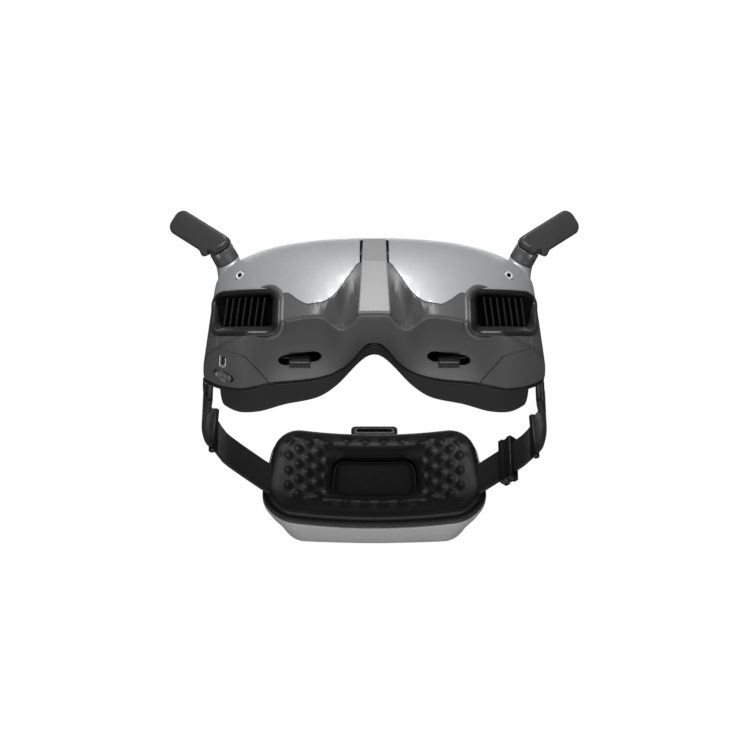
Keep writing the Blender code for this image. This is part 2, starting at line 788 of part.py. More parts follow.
def proximity_sensor():
    solid("proximity_sensor", rod_mesh((0, PLATE_Y - 2, SENSOR_Z), (0, PLATE_Y + 2, SENSOR_Z),
                                      2.3, sides=16), "display_glass")


# ---------------------------------------------------------------- eye modules
def eye_module(side, sign):
    x = sign * EYE_X
    origin = (x, 0, 0)
    place = Matrix.Translation((x, 0, 0)) @ Matrix.Rotation(math.radians(90), 4, "X")
    inner = BARREL_R - BARREL_WALL
    barrel = turned_mesh([(BARREL_R, -BARREL_REAR), (BARREL_R, -BARREL_FRONT),
                          (inner, -BARREL_FRONT), (inner, -BARREL_REAR)], place)
    solid(side + "_lens_barrel", barrel, "black_plastic", origin)
    lens = rod_mesh((x, -8.0, 0), (x, -3.0, 0), inner - GAP, sides=28)
    solid(side + "_lens", lens, "lens_glass", origin)
    display = box_mesh((x - 13, BARREL_FRONT - 3.4, -12), (x + 13, BARREL_FRONT - GAP, 12), 0.6)
    solid(side + "_display", display, "display_glass", origin)
    solid(side + "_spacing_knob", knob_mesh(sign * KNOB_X), "black_plastic", origin)


def knob_mesh(x):
    """Thumb pad under the housing on a stem that reaches up towards the lens barrel."""
    pad = rounded_rect(KNOB_HALF, KNOB_DEEP, 1.0, 2)
    stem = rounded_rect(KNOB_STEM_HALF, KNOB_STEM_DEEP, 0.8, 2)
    levels = ((pad, 0.9, KNOB_LOW), (pad, 1.0, KNOB_LOW + 0.6), (pad, 1.0, KNOB_TOP), (stem, 1.0, KNOB_TOP),
              (stem, 1.0, -BARREL_R - GAP))
    return loops_mesh([[Vector((x + a * grow, KNOB_Y + b * grow, z)) for a, b in outline]
                       for outline, grow, z in levels])


# ---------------------------------------------------------------- electronics
def electronics():
    solid("main_board", box_mesh((-46, -34, 22.4), (46, -19, 24.0)), "board_green")
    sink = box_mesh((-44, -38.6, -12), (44, -36.8, 14))
    part = solid("heat_sink", sink, "aluminium")
    fins = bmesh.new()
    for i in range(HEAT_FINS):
        x = -42 + 84 * i / (HEAT_FINS - 1)
        bmesh.ops.create_cube(fins, size=1.0, matrix=Matrix.Translation((x, -35.7, 1))
                              @ Matrix.Diagonal((1.2, 3.2, 26.0, 1.0)))
    boolean(part, guide("heat_sink_fins", fins), "UNION")
    fan_housing()
    fan_rotor()


def fan_housing():
    outline = rounded_rect(FAN_HALF, FAN_HALF, 3.0)
    part = solid("fan_housing", prism_mesh(outline, lambda a, b: (a, FAN_FRONT, b),
                                           lambda a, b: (a, FAN_FRONT + FAN_DEEP, b)), "black_plastic")
    cut(part, guide("fan_bore", rod_mesh((0, FAN_FRONT - 1, 0), (0, FAN_FRONT + FAN_DEEP - 1.2, 0),
                                         FAN_HALF - 1.4, sides=32)))


def fan_rotor():
    """Hub with flat blades, turning about the front-to-back axis."""
    y0 = FAN_FRONT + 0.8
    y1 = FAN_FRONT + FAN_DEEP - 1.8
    part = solid("fan_rotor", rod_mesh((0, y0, 0), (0, y1, 0), 5.5, sides=20), "black_plastic",
                 (0, FAN_FRONT, 0))
    blades = bmesh.new()
    for i in range(FAN_BLADES):
        turn = Matrix.Rotation(2 * math.pi * i / FAN_BLADES, 4, "Y")
        lean = Matrix.Rotation(math.radians(35), 4, "X")
        arm = Matrix.Translation((8.2, (y0 + y1) / 2, 0)) @ lean @ Matrix.Diagonal((7.6, 0.9, 4.2, 1))
        bmesh.ops.create_cube(blades, size=1.0, matrix=turn @ arm)
    boolean(part, guide("fan_blades", blades), "UNION")


# ---------------------------------------------------------------- socket and five-way button
def usb_mesh(grow, low, high):
    """Upright oval prism along the charging socket's axis, under the wearer's right corner."""
    outline = rounded_rect(USB_HALF_WIDE + grow, USB_HALF_LONG + grow, USB_HALF_WIDE + grow - 0.1)
    place = seated(USB_POINT, USB_OUT, USB_LONG)
    return prism_mesh(outline, lambda a, b: place @ Vector((b, a, low)),
                      lambda a, b: place @ Vector((b, a, high)))


def usb_socket():
    part = solid("usb_c_socket", usb_mesh(0.0, -5.0, 1.6), "steel")
    cut(part, guide("socket_mouth", usb_mesh(-0.4, -3.0, 4.0)))


def ellipse(half_a, half_b, count=24):
    return [(half_a * math.cos(2 * math.pi * i / count), half_b * math.sin(2 * math.pi * i / count))
            for i in range(count)]


def seated(point, out, long_axis):
    """Frame at a point: first axis along the long direction, third axis straight out."""
    out = out.normalized()
    long_axis = (long_axis - out * long_axis.dot(out)).normalized()
    turn = Matrix((long_axis, out.cross(long_axis), out)).transposed().to_4x4()
    return Matrix.Translation(point) @ turn


def stick_place():
    return seated(STICK_CENTRE, STICK_OUT, STICK_LONG)


def stick_piece(name, outline, low, high, mat):
    place = stick_place()
    bm = prism_mesh(outline, lambda a, b: place @ Vector((a, b, low)),
                    lambda a, b: place @ Vector((a, b, high)))
    return solid(name, bm, mat, STICK_CENTRE)


def five_way_button():
    """Thumb button that tilts four ways and presses in, on a small gimbal."""
    stick_piece("five_way_button", ellipse(STICK_HALF_LONG, STICK_HALF_WIDE), -0.4, 1.4, "black_plastic")
    stick_piece("stick_cradle", ellipse(2.4, 1.8, 12), -2.6, -1.3, "black_plastic")
    stick_piece("stick_yoke", ellipse(2.8, 2.2, 12), -4.4, -3.0, "black_plastic")
    stick_piece("stick_base", rounded_rect(3.6, 2.8, 0.6, 1), -7.4, -4.8, "black_plastic")


# ---------------------------------------------------------------- antennas
def antenna(side, sign):
    pivot = flip(sign, ANTENNA_PIVOT)
    axis = flip(sign, ANTENNA_AXIS)
    solid(side + "_antenna_neck", rod_mesh(neck_seat(sign) + axis * GAP, pivot - axis * GAP / 2, NECK_R),
          "antenna_grey")
    paddle = solid(side + "_antenna", rod_mesh(pivot + axis * GAP / 2, pivot + axis * KNUCKLE_LONG,
                                               NECK_R), "antenna_grey", pivot)
    boolean(paddle, guide(side + "_antenna_blade", blade_mesh(sign)), "UNION")
    cut(paddle, guide(side + "_antenna_clear", rod_mesh(pivot - axis * 20, pivot + axis * GAP / 2, CLEAR_R)))


def blade_outline():
    """Rounded rectangle from heel to tip, with a deeper heel along its lower edge."""
    points = []
    for a, b in panel_outline(PADDLE_LONG / 2, PADDLE_HALF, PADDLE_CORNER, 10, 2):
        a += PADDLE_LONG / 2
        heel = 1 - smoothstep((a - HEEL_LONG) / HEEL_RAMP)
        points.append((a, b - HEEL_DEEP * heel if b < 0 else b))
    return points


def blade_mesh(sign):
    """Flat rounded blade that leaves the knuckle at a slant to its axis."""
    direction = flip(sign, ANTENNA_DIR)
    axis = flip(sign, ANTENNA_AXIS)
    wide = flip(sign, ANTENNA_FACE).cross(direction).normalized()
    wide = wide if wide.z > 0 else -wide
    thick = direction.cross(wide)
    start = flip(sign, ANTENNA_PIVOT) + axis * PADDLE_LIFT - direction * PADDLE_BACK
    middle = PADDLE_LONG / 2

    def place(depth, shrink):
        return [start + direction * (middle + (a - middle) * shrink) + wide * (b * shrink) + thick * depth
                for a, b in blade_outline()]
    return loops_mesh([place(-PADDLE_THICK, 0.9), place(-PADDLE_THICK * 0.6, 1.0),
                       place(PADDLE_THICK * 0.6, 1.0), place(PADDLE_THICK, 0.9)])


# ---------------------------------------------------------------- headband
def band_mesh(path, thick, heights):
    """Upright band along a plan path; heights gives its lower and upper edge at each point."""
    loops = []
    for i, (x, y) in enumerate(path):
        before = Vector(path[max(i - 1, 0)])
        after = Vector(path[min(i + 1, len(path) - 1)])
        run = (after - before).normalized()
        side = Vector((run.y, -run.x)) * thick / 2
        low, high = heights[i]
        loops.append([Vector((x - side.x, y - side.y, low)), Vector((x + side.x, y + side.y, low)),
                      Vector((x + side.x, y + side.y, high)), Vector((x - side.x, y - side.y, high))])
    return loops_mesh(loops)


def mirrored(path, sign):
    return [(sign * x, y) for x, y in path]


def band_origin():
    """The headband swings up and down about this point."""
    return (0, BAND_PIVOT_Y, BAND_PIVOT_Z)


def pivot_rod(sign, x0, x1, radius):
    return rod_mesh((sign * x0, BAND_PIVOT_Y, BAND_PIVOT_Z), (sign * x1, BAND_PIVOT_Y, BAND_PIVOT_Z),
                    radius, sides=16)


def hinge_ear(side, sign):
    """Fixed lug behind the frame, and the pin the headband swings on."""
    low, high = corners((sign * EAR_INNER_X, EAR_FRONT_Y, BAND_PIVOT_Z - 5),
                        (sign * EAR_OUTER_X, BAND_PIVOT_Y + 4.5, BAND_PIVOT_Z + 5))
    ear = solid(side + "_hinge_ear", box_mesh(low, high, 0.4), "black_plastic")
    cut(ear, guide(side + "_ear_bore", pivot_rod(sign, 70, 90, PIN_R + GAP)))
    solid(side + "_pivot_pin", pivot_rod(sign, EAR_INNER_X + 0.2, 84.4, PIN_R), "steel")


def corners(a, b):
    """Lowest and highest corner of the box between two points."""
    return Vector(map(min, a, b)), Vector(map(max, a, b))


def front_path(side):
    """Front strap's path, stretched back by the length let out on that side."""
    start = FRONT_STRAP_PATH[0][1]
    stretch = 1 + LET_OUT[side] / (FRONT_STRAP_PATH[-1][1] - start)
    return [(x, start + (y - start) * stretch) for x, y in FRONT_STRAP_PATH]


def rear_path(side):
    """Rear strap's path from the joining bar to the pack, which stays where it is."""
    last = len(REAR_STRAP_PATH) - 1
    return [(x, y + LET_OUT[side] * (1 - i / last)) for i, (x, y) in enumerate(REAR_STRAP_PATH)]


def strap_side(side, sign):
    """Anchor arm, front strap, joining bar and rear strap of one side, one behind the other."""
    anchor = solid(side + "_strap_anchor", band_mesh(mirrored(ANCHOR_PATH, sign), ANCHOR_THICK, ANCHOR_EDGES),
                   "black_plastic", band_origin())
    cut(anchor, guide(side + "_anchor_bore", pivot_rod(sign, 70, 95, PIN_R + GAP)))
    front = band_mesh(mirrored(front_path(side), sign), BAND_THICK, FRONT_STRAP_EDGES)
    solid(side + "_front_strap", front, "webbing", band_origin())
    x, y = STRAP_BAR
    y += LET_OUT[side]
    bar = rod_mesh((sign * x, y, STRAP_BAR_LOW), (sign * x, y, STRAP_BAR_HIGH), STRAP_BAR_R, sides=12)
    solid(side + "_strap_bar", bar, "black_plastic", band_origin())
    rear = band_mesh(mirrored(rear_path(side), sign), BAND_THICK, REAR_STRAP_EDGES)
    solid(side + "_rear_strap", rear, "webbing", band_origin())


def strap_buckle():
    """Ladder-lock buckle round the straight stretch of the wearer's left rear strap."""
    start, end = (Vector(p) for p in rear_path("left")[-2:])
    run = (end - start).normalized()
    across = Vector((-run.y, run.x, 0))
    centre = Vector((*(start + run * BUCKLE_ALONG), BUCKLE_Z))

    def place(depth):
        return lambda a, b: centre + across * a + Vector((0, 0, b)) + Vector((*run, 0)) * depth
    outer = rounded_rect(BUCKLE_HALF_THICK, BUCKLE_HALF_HIGH, 1.2, steps=2)
    inner = rounded_rect(BAND_THICK / 2 + 0.35, BUCKLE_HALF_HIGH - BUCKLE_RIM, 0.3, steps=2)
    solid("strap_buckle", ring_prism_mesh(outer, inner, place(-BUCKLE_HALF_LONG), place(BUCKLE_HALF_LONG)),
          "black_plastic", centre)


# ---------------------------------------------------------------- rear battery pack
def panel_outline(half_w, half_h, radius, across=10, upright=3):
    """Rounded rectangle with extra points along its straight edges, so that it can be bent."""
    corner = rounded_rect(half_w, half_h, radius)
    points = []
    for k, point in enumerate(corner):
        points.append(point)
        if k % 5 != 4:
            continue
        parts = across if (k // 5) % 2 == 0 else upright
        nxt = corner[(k + 1) % len(corner)]
        points += [(point[0] + (nxt[0] - point[0]) * t / parts, point[1] + (nxt[1] - point[1]) * t / parts)
                   for t in range(1, parts)]
    return points


def taper(z):
    """The pack grows narrower towards its top."""
    return 1 - PACK_TAPER * smoothstep((z - PACK_BOTTOM) / (PAD_TOP - PACK_BOTTOM)) ** TAPER_POWER


def bent(x, y, z, curve=1.0):
    """Point of the pack, moved forward towards its ends to follow the head."""
    return Vector((x, y - PACK_CURVE * curve * (x / PACK_HALF) ** 2, z))


def pack_outline(inset, y, curve=1.0, top=PAD_TOP):
    """Loop round the pack, bent forward at its ends to follow the head."""
    half = PACK_HALF - inset
    high = (top - PACK_BOTTOM) / 2 - inset
    middle = (top + PACK_BOTTOM) / 2
    radius = PACK_CORNER - min(inset, 12.0)
    return [bent(a * taper(b + middle), y, b + middle, curve) for a, b in panel_outline(half, high, radius)]


def window_loop(grow, y):
    """Loop round the opening in the pad, a little narrower at its top."""
    radius = WINDOW_RADIUS + grow
    return [bent(a * (1 - WINDOW_NARROWING * b / WINDOW_HALF_HIGH), y, b + WINDOW_Z)
            for a, b in panel_outline(WINDOW_HALF_WIDE + grow, WINDOW_HALF_HIGH + grow, radius)]


def rear_pack():
    rear_pad()
    window = loops_mesh([window_loop(0.0, PAD_BACK_Y - 1.6), window_loop(0.0, PAD_BACK_Y)])
    solid("pad_window", window, "black_plastic", band_origin())
    front, back = FRAME_FRONT_Y, FRAME_FRONT_Y + 2.6
    frame = [pack_outline(0.8, front), pack_outline(0.8, back), pack_outline(9.0, back),
             pack_outline(9.0, front)]
    solid("pack_frame", loops_mesh(frame, closed=True), "black_plastic", band_origin())
    battery_cover()
    cells()
    strap_loop()


def rear_pad():
    """Soft pad for the back of the head: a rolled edge, a swollen face and an opening in the middle."""
    back = PAD_BACK_Y
    loops = [pack_outline(3.5, back), pack_outline(1.8, back - 2.4), pack_outline(3.2, back - 5.2),
             pack_outline(9.0, back - 7.4), window_loop(2.0, back - 7.4), window_loop(0.3, back - 5.0),
             window_loop(0.3, back)]
    solid("rear_pad", loops_mesh(loops, closed=True), "pad_rubber", band_origin())


def battery_cover():
    """Shell over the cells: open at the front, flat at the back, with a hole for the power button."""
    back = COVER_BACK_Y
    outer = [(0.0, COVER_FRONT_Y, 1.0), (0.2, 141.0, 0.9), (4.0, back - 3.4, 0.3), (12.0, back, 0.0)]
    inner = [(13.0, back - COVER_WALL, 0.0), (6.0, back - 4.6, 0.3), (2.2, 140.0, 0.9),
             (2.0, COVER_FRONT_Y, 1.0)]
    loops = [pack_outline(inset, y, curve, COVER_TOP) for inset, y, curve in inner + outer]
    part = solid("battery_cover", loops_mesh(loops), "pack_grey", band_origin())
    hole = rod_mesh((POWER_X, back - 11, POWER_Z), (POWER_X, back + 9, POWER_Z), POWER_R + GAP, sides=24)
    cut(part, guide("power_hole", hole))
    button = rod_mesh((POWER_X, back - 1.8, POWER_Z), (POWER_X, back - 0.2, POWER_Z), POWER_R, sides=24)
    solid("power_button", button, "black_plastic", (POWER_X, back, POWER_Z))


def cells():
    for i, z in enumerate(CELL_HEIGHTS, start=1):
        cell = rod_mesh((-CELL_HALF_LONG, CELL_Y, z), (CELL_HALF_LONG, CELL_Y, z), CELL_R, sides=24)
        solid("battery_cell_%d" % i, cell, "cell_wrap", band_origin())
    board = box_mesh((34.0, 134.0, -24.0), (35.6, 146.0, 14.0))
    solid("battery_board", board, "board_green", band_origin())


def strap_loop():
    """Slotted loop on top of the pack for an over-head strap."""
    outer = rounded_rect(12.6, 2.9, 2.8)
    inner = rounded_rect(9.6, 1.0, 0.9)
    loop = ring_prism_mesh(outer, inner, lambda a, b: (a, COVER_FRONT_Y + 0.1, b + LOOP_Z),
                           lambda a, b: (a, COVER_FRONT_Y + 3.6, b + LOOP_Z))
    solid("top_strap_loop", loop, "black_plastic", band_origin())


# ---------------------------------------------------------------- assembly
def clear_scene():
    for obj in list(bpy.data.objects):
        bpy.data.objects.remove(obj)


def stand_on_floor():
    """Hang everything on one empty that puts the eye point over the middle of the floor."""
    objects = list(bpy.data.objects)
    root = bpy.data.objects.new("goggles", None)
    bpy.context.collection.objects.link(root)
    for obj in objects:
        obj.parent = root
    root.location = EYE_POINT * MM


def build():
    clear_scene()
    hood()
    lower_shell()
    solid("nose_ridge", ridge_mesh(), "ridge_grey")
    mid_frame()
    face_plate()
    face_pad()
    proximity_sensor()
    electronics()
    usb_socket()
    five_way_button()
    for side, sign in sides():
        corner_cover(side, sign)
        vent_parts(side, sign)
        hood_screw(side, sign)
        eye_module(side, sign)
        antenna(side, sign)
        hinge_ear(side, sign)
        strap_side(side, sign)
    strap_buckle()
    rear_pack()
    stand_on_floor()


build()
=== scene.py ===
"""Looks of the head-worn video goggles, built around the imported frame.

Axes: +X to the wearer's left, -Y out of the front, +Z up.  The modelling helpers work in
millimetres; piece() turns them into metres and makes each piece ride on its CAD body.
"""
import math

import bmesh
import bpy
from mathutils import Matrix, Vector

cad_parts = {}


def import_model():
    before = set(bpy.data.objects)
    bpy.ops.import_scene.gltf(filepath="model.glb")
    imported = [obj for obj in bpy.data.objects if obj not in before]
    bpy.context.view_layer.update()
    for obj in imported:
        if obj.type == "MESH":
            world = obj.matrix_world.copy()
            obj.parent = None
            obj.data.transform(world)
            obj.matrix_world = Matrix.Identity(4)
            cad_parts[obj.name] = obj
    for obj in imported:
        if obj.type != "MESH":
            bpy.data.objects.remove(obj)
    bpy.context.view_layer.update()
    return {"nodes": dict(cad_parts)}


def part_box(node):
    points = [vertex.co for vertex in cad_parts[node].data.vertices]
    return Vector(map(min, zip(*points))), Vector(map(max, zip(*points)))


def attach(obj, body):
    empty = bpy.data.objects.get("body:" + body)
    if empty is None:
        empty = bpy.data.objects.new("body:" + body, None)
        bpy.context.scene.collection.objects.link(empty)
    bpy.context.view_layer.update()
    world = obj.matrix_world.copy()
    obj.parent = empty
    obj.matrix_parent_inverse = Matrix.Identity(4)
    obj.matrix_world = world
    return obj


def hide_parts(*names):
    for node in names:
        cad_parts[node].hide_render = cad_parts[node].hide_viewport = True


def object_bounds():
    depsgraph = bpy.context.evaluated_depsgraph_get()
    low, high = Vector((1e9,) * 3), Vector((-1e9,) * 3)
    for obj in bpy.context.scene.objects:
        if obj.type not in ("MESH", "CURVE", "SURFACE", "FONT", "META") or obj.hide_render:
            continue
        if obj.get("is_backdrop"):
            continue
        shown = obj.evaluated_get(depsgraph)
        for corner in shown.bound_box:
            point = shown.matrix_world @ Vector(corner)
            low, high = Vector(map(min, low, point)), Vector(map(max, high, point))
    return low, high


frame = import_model()

MM = 0.001
GAP = 0.3
SIDES = (("right", -1), ("left", 1))


def eye_point():
    """Point midway between the eyes, from which every position below is measured."""
    low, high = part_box("right_lens_barrel")
    return Vector((0, high.y / MM + 1.5, (low.z + high.z) / 2 / MM))


EYE_POINT = eye_point()


def node_box(name):
    low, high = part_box(name)
    return low / MM - EYE_POINT, high / MM - EYE_POINT


# ---- housing shape ----
BASE_Z = -34.0
FRONT_DEPTH = 62.0
CROWN_POWER = 2.7
PLAN_POWER_X = 2.3
PLAN_POWER_Y = 2.1
TOP_MIDDLE = 37.0
TOP_DROP = 9.0
TOP_POWER_X = 5.0
TOP_POWER_Z = 2.2
SIDE_MEAN = 81.8
SIDE_SLOPE = 0.077
WALL = 1.8
CREASE_RADIUS = 2.5
CORNER_START = 60.0
CORNER_RUN = 25.0
CORNER_RISE = 15.0
CORNER_POWER = 1.7
VALLEY_X = 15.5
VALLEY_WIDTH = 6.5
VALLEY_DEPTH = 12.0
HOOD_EDGE = [(0, 0), (7, -1.5), (12, -10), (18, -20.5), (24, -25.4), (31, -26), (36, -22.5),
             (42, -16.6), (46, -17.0), (50, -15.8), (57, -11.4), (64.5, -5.8), (71, 0.4), (76.5, 5.2),
             (79, 8), (90, 8)]
RIDGE_PATH = [(-49.4, 19.9, 5.6), (-60.0, -1.6, 6.0), (-64.0, -33.9, 7.4), (-43.0, -31.6, 7.6)]
RIDGE_THICK = 3.6
RIDGE_LIFT = 0.35
RIDGE_END_SINK = 2.5
RIDGE_EDGE = 0.5
SLOT_HALF = 7.0
SLOT_TOP = 20.6

# ---- vents ----
VENT_TILT = math.radians(35)
VENT_X = 61.8
VENT_HALF_WIDE = 17.0
VENT_HALF_HIGH = 10.4
VENT_RADIUS = 6.0
VENT_UP = 8.8
VENT_INWARD = Vector((0, math.cos(VENT_TILT), math.sin(VENT_TILT)))
VENT_UPWARD = Vector((0, -math.sin(VENT_TILT), math.cos(VENT_TILT)))
SLATS = 7
SLAT_PITCH = 3.15

# ---- antennas ----
ANTENNA_PIVOT = Vector((76.6, -17.5, 39.0))
ANTENNA_AXIS = Vector((0.45, -0.74, 0.50)).normalized()
ANTENNA_DIR = Vector((0.75, 0.10, 0.65)).normalized()
ANTENNA_FACE = Vector((-0.38, 0.87, 0.31))
NECK_R = 6.3
NECK_LONG = 7.5
BOSS_ROOT = Vector((70.6, -9.0, 22.0))
PADDLE_LIFT = 0.6
PADDLE_BACK = 3.4
PADDLE_LONG = 35.2
PADDLE_HALF = 6.6
PADDLE_CORNER = 4.6
PADDLE_CLEARANCE = 13.0
HEEL_DEEP = 1.6
HEEL_LONG = 13.0
HEEL_RAMP = 3.7

# ---- lower corner and eye-spacing slots ----
USB_POINT = Vector((-72.8, -19.0, -29.5))
USB_OUT = Vector((-0.33, -0.20, -0.92))
USB_LONG = Vector((0.0, 1.0, 0.0))
USB_HALF_WIDE = 1.8
USB_HALF_LONG = 4.3
STICK_CENTRE = Vector((-73.2, -6.4, -29.9))
STICK_OUT = Vector((-0.45, -0.15, -0.88))
STICK_LONG = Vector((0.86, 0.22, -0.47))
STICK_HALF_LONG = 4.5
STICK_HALF_WIDE = 3.7
SCREW_SHARE = 0.805
SCREW_Z = 8.6
SCREW_OUT = Vector((0.40, -0.86, -0.10)).normalized()
EYE_X = 32.0
KNOB_X = 36.0
KNOB_Y = -18.3
TRACK_HALF_LONG = 10.6
TRACK_HALF_WIDE = 4.0
TRACK_SLANT = math.radians(11)
THUMB_STEM_HALF = (2.4, 1.1)

# ---- rim and face pad ----
RIM_MID_Z = 3.0
RIM_HALF_HIGH = 34.0
RIM_STEPS = 56
RIM_SIDE_STEPS = 14
FRAME_LIFT = 0.9
PAD_START = 6.5
CLOTH_FRAMES = 16
CLOTH_PRESSURE = 1.2
CLOTH_CAP = 1.0

# ---- headband and pack ----
BAND_PIVOT = Vector((0.0, 14.0, -8.0))
ANCHOR_PATH = [(82.0, 11.2), (82.0, 20.0), (82.6, 31.0), (83.8, 42.0)]
ANCHOR_EDGES = [(-10.4, -5.6), (-13.0, -3.0), (-15.0, -0.5), (-16.0, 1.0)]
FRONT_STRAP_PATH = [(83.95, 42.4), (86.4, 52.0), (87.2, 62.0), (86.2, 71.0), (84.4, 75.6)]
FRONT_STRAP_EDGES = [(-16.0, 1.0), (-16.6, 2.6), (-17.2, 4.2), (-17.8, 5.4), (-18.0, 6.0)]
REAR_STRAP_PATH = [(81.9, 80.6), (79.8, 86.4), (75.6, 93.2), (60.0, 110.4)]
REAR_STRAP_EDGES = [(-17.5, 1.5), (-17.5, 1.0), (-18.5, 0.0), (-20.8, -2.4)]
REAR_STRAP_IN_PAD = (55.0, 115.3)
REAR_STRAP_END_EDGES = (-21.4, -3.0)
STRAP_WIDE = 24.0
STITCHES = 9
LET_OUT = {"right": 0.0, "left": 5.6}
PACK_HALF = 60.0
PACK_BOTTOM = -33.0
PAD_TOP = 24.4
COVER_TOP = 25.0
PACK_CORNER = 17.0
PACK_CURVE = 10.0
PACK_TAPER = 0.1
PACK_TAPER_POWER = 1.5
COVER_SQUEEZE = 0.13
SQUEEZE_START_Y = 132.5
SQUEEZE_RUN = 16
PAD_BACK_Y = 128.4
COVER_FRONT_Y = 131.8
COVER_BACK_Y = 155.0
WINDOW_HALF_WIDE = 22.6
WINDOW_HALF_HIGH = 11.9
WINDOW_RADIUS = 6.5
WINDOW_Z = -5.0
WINDOW_NARROWING = 0.05


# ---------------------------------------------------------------- small maths
def clamp01(value):
    return max(0.0, min(1.0, value))


def smoothstep(value):
    t = clamp01(value)
    return t * t * (3 - 2 * t)


def lerp(a, b, t):
    return a + (b - a) * t


def through(points, x):
    """Smooth curve through (x, value) points that never overshoots them."""
    if x <= points[0][0]:
        return points[0][1]
    if x >= points[-1][0]:
        return points[-1][1]
    i = next(k for k in range(len(points) - 1) if points[k + 1][0] >= x)
    (x0, v0), (x1, v1) = points[i], points[i + 1]
    span = x1 - x0
    slope = (v1 - v0) / span
    before = slope if i == 0 else (v0 - points[i - 1][1]) / (x0 - points[i - 1][0])
    after = slope if i + 2 == len(points) else (points[i + 2][1] - v1) / (points[i + 2][0] - x1)
    m0 = 0.0 if before * slope <= 0 else 2 * before * slope / (before + slope)
    m1 = 0.0 if after * slope <= 0 else 2 * after * slope / (after + slope)
    t = (x - x0) / span
    a = (2 * t**3 - 3 * t**2 + 1) * v0 + (t**3 - 2 * t**2 + t) * span * m0
    return a + (3 * t**2 - 2 * t**3) * v1 + (t**3 - t**2) * span * m1


def curve_points(points, steps):
    """Smooth curve through points (Catmull-Rom), with the given steps per span."""
    points = [Vector(p) for p in points]
    out = []
    for i in range(len(points) - 1):
        p0, p1 = points[max(i - 1, 0)], points[i]
        p2, p3 = points[i + 1], points[min(i + 2, len(points) - 1)]
        for k in range(steps):
            t = k / steps
            out.append(0.5 * (2 * p1 + (p2 - p0) * t + (2 * p0 - 5 * p1 + 4 * p2 - p3) * t * t
                              + (3 * p1 - p0 - 3 * p2 + p3) * t**3))
    out.append(points[-1])
    return out


def flip(sign, vec):
    return Vector((sign * vec[0], vec[1], vec[2]))


def along(axis):
    """Rotation that carries +Z onto the given axis."""
    return Vector((0, 0, 1)).rotation_difference(Vector(axis)).to_matrix().to_4x4()


# ---------------------------------------------------------------- material nodes
class Nodes:
    """Short-hand for building a node tree."""

    def __init__(self, tree):
        self.tree = tree

    def add(self, kind, inputs=None, **settings):
        node = self.tree.nodes.new(kind)
        for key, value in settings.items():
            setattr(node, key, value)
        for key, value in (inputs or {}).items():
            socket = node.inputs[key]
            if isinstance(value, bpy.types.NodeSocket):
                self.tree.links.new(value, socket)
            else:
                socket.default_value = value
        return node

    def noise(self, vector, scale, detail=3.0, rough=0.55):
        return self.add("ShaderNodeTexNoise", {"Vector": vector, "Scale": scale, "Detail": detail,
                                               "Roughness": rough}).outputs[0]

    def wave(self, vector, scale, distortion=0.0, axis="X"):
        return self.add("ShaderNodeTexWave", {"Vector": vector, "Scale": scale, "Distortion": distortion,
                                              "Detail": 1.0}, bands_direction=axis).outputs[1]

    def maths(self, operation, a, b=0.0):
        return self.add("ShaderNodeMath", {0: a, 1: b}, operation=operation).outputs[0]

    def relief(self, height, strength, depth, normal=None):
        """Bump made from a height, its depth in millimetres."""
        inputs = {"Height": height, "Strength": strength, "Distance": depth * MM}
        if normal is not None:
            inputs["Normal"] = normal
        return self.add("ShaderNodeBump", inputs).outputs[0]

    def span(self, value, low, high):
        """Map 0..1 onto low..high."""
        return self.add("ShaderNodeMapRange", {"Value": value, "To Min": low, "To Max": high}).outputs[0]

    def blend(self, factor, a, b):
        node = self.add("ShaderNodeMix", {"Factor": factor, 6: a, 7: b}, data_type="RGBA")
        return node.outputs[2]


def rgba(color, gain=1.0):
    return tuple(min(1.0, c * gain) for c in color) + (1.0,)


def start_material(name):
    mat = bpy.data.materials.new(name)
    mat.use_nodes = True
    tree = mat.node_tree
    shader = tree.nodes["Principled BSDF"]
    nodes = Nodes(tree)
    place = nodes.add("ShaderNodeTexCoord").outputs["Object"]
    return mat, nodes, shader, place


def connect(nodes, shader, **values):
    names = {"color": "Base Color", "rough": "Roughness", "metal": "Metallic", "normal": "Normal",
             "coat": "Coat Weight", "sheen": "Sheen Weight", "spec": "Specular IOR Level",
             "sheen_rough": "Sheen Roughness", "transmission": "Transmission Weight"}
    for key, value in values.items():
        socket = shader.inputs[names[key]]
        if isinstance(value, bpy.types.NodeSocket):
            nodes.tree.links.new(value, socket)
        else:
            socket.default_value = value


def edge_highlight_and_wear(nodes, radius):
    """Rounded normal, and how far the surface turns within that radius, which paints sharp edges lighter:
    painted edge highlight as well as wear.
    """
    rounded = nodes.add("ShaderNodeBevel", {"Radius": radius}, samples=4).outputs[0]
    normal = nodes.add("ShaderNodeNewGeometry").outputs["Normal"]
    dot = nodes.add("ShaderNodeVectorMath", {0: rounded, 1: normal}, operation="DOT_PRODUCT")
    turn = nodes.maths("SUBTRACT", 1.0, dot.outputs["Value"])
    return rounded, nodes.maths("MULTIPLY", turn, 3.0)


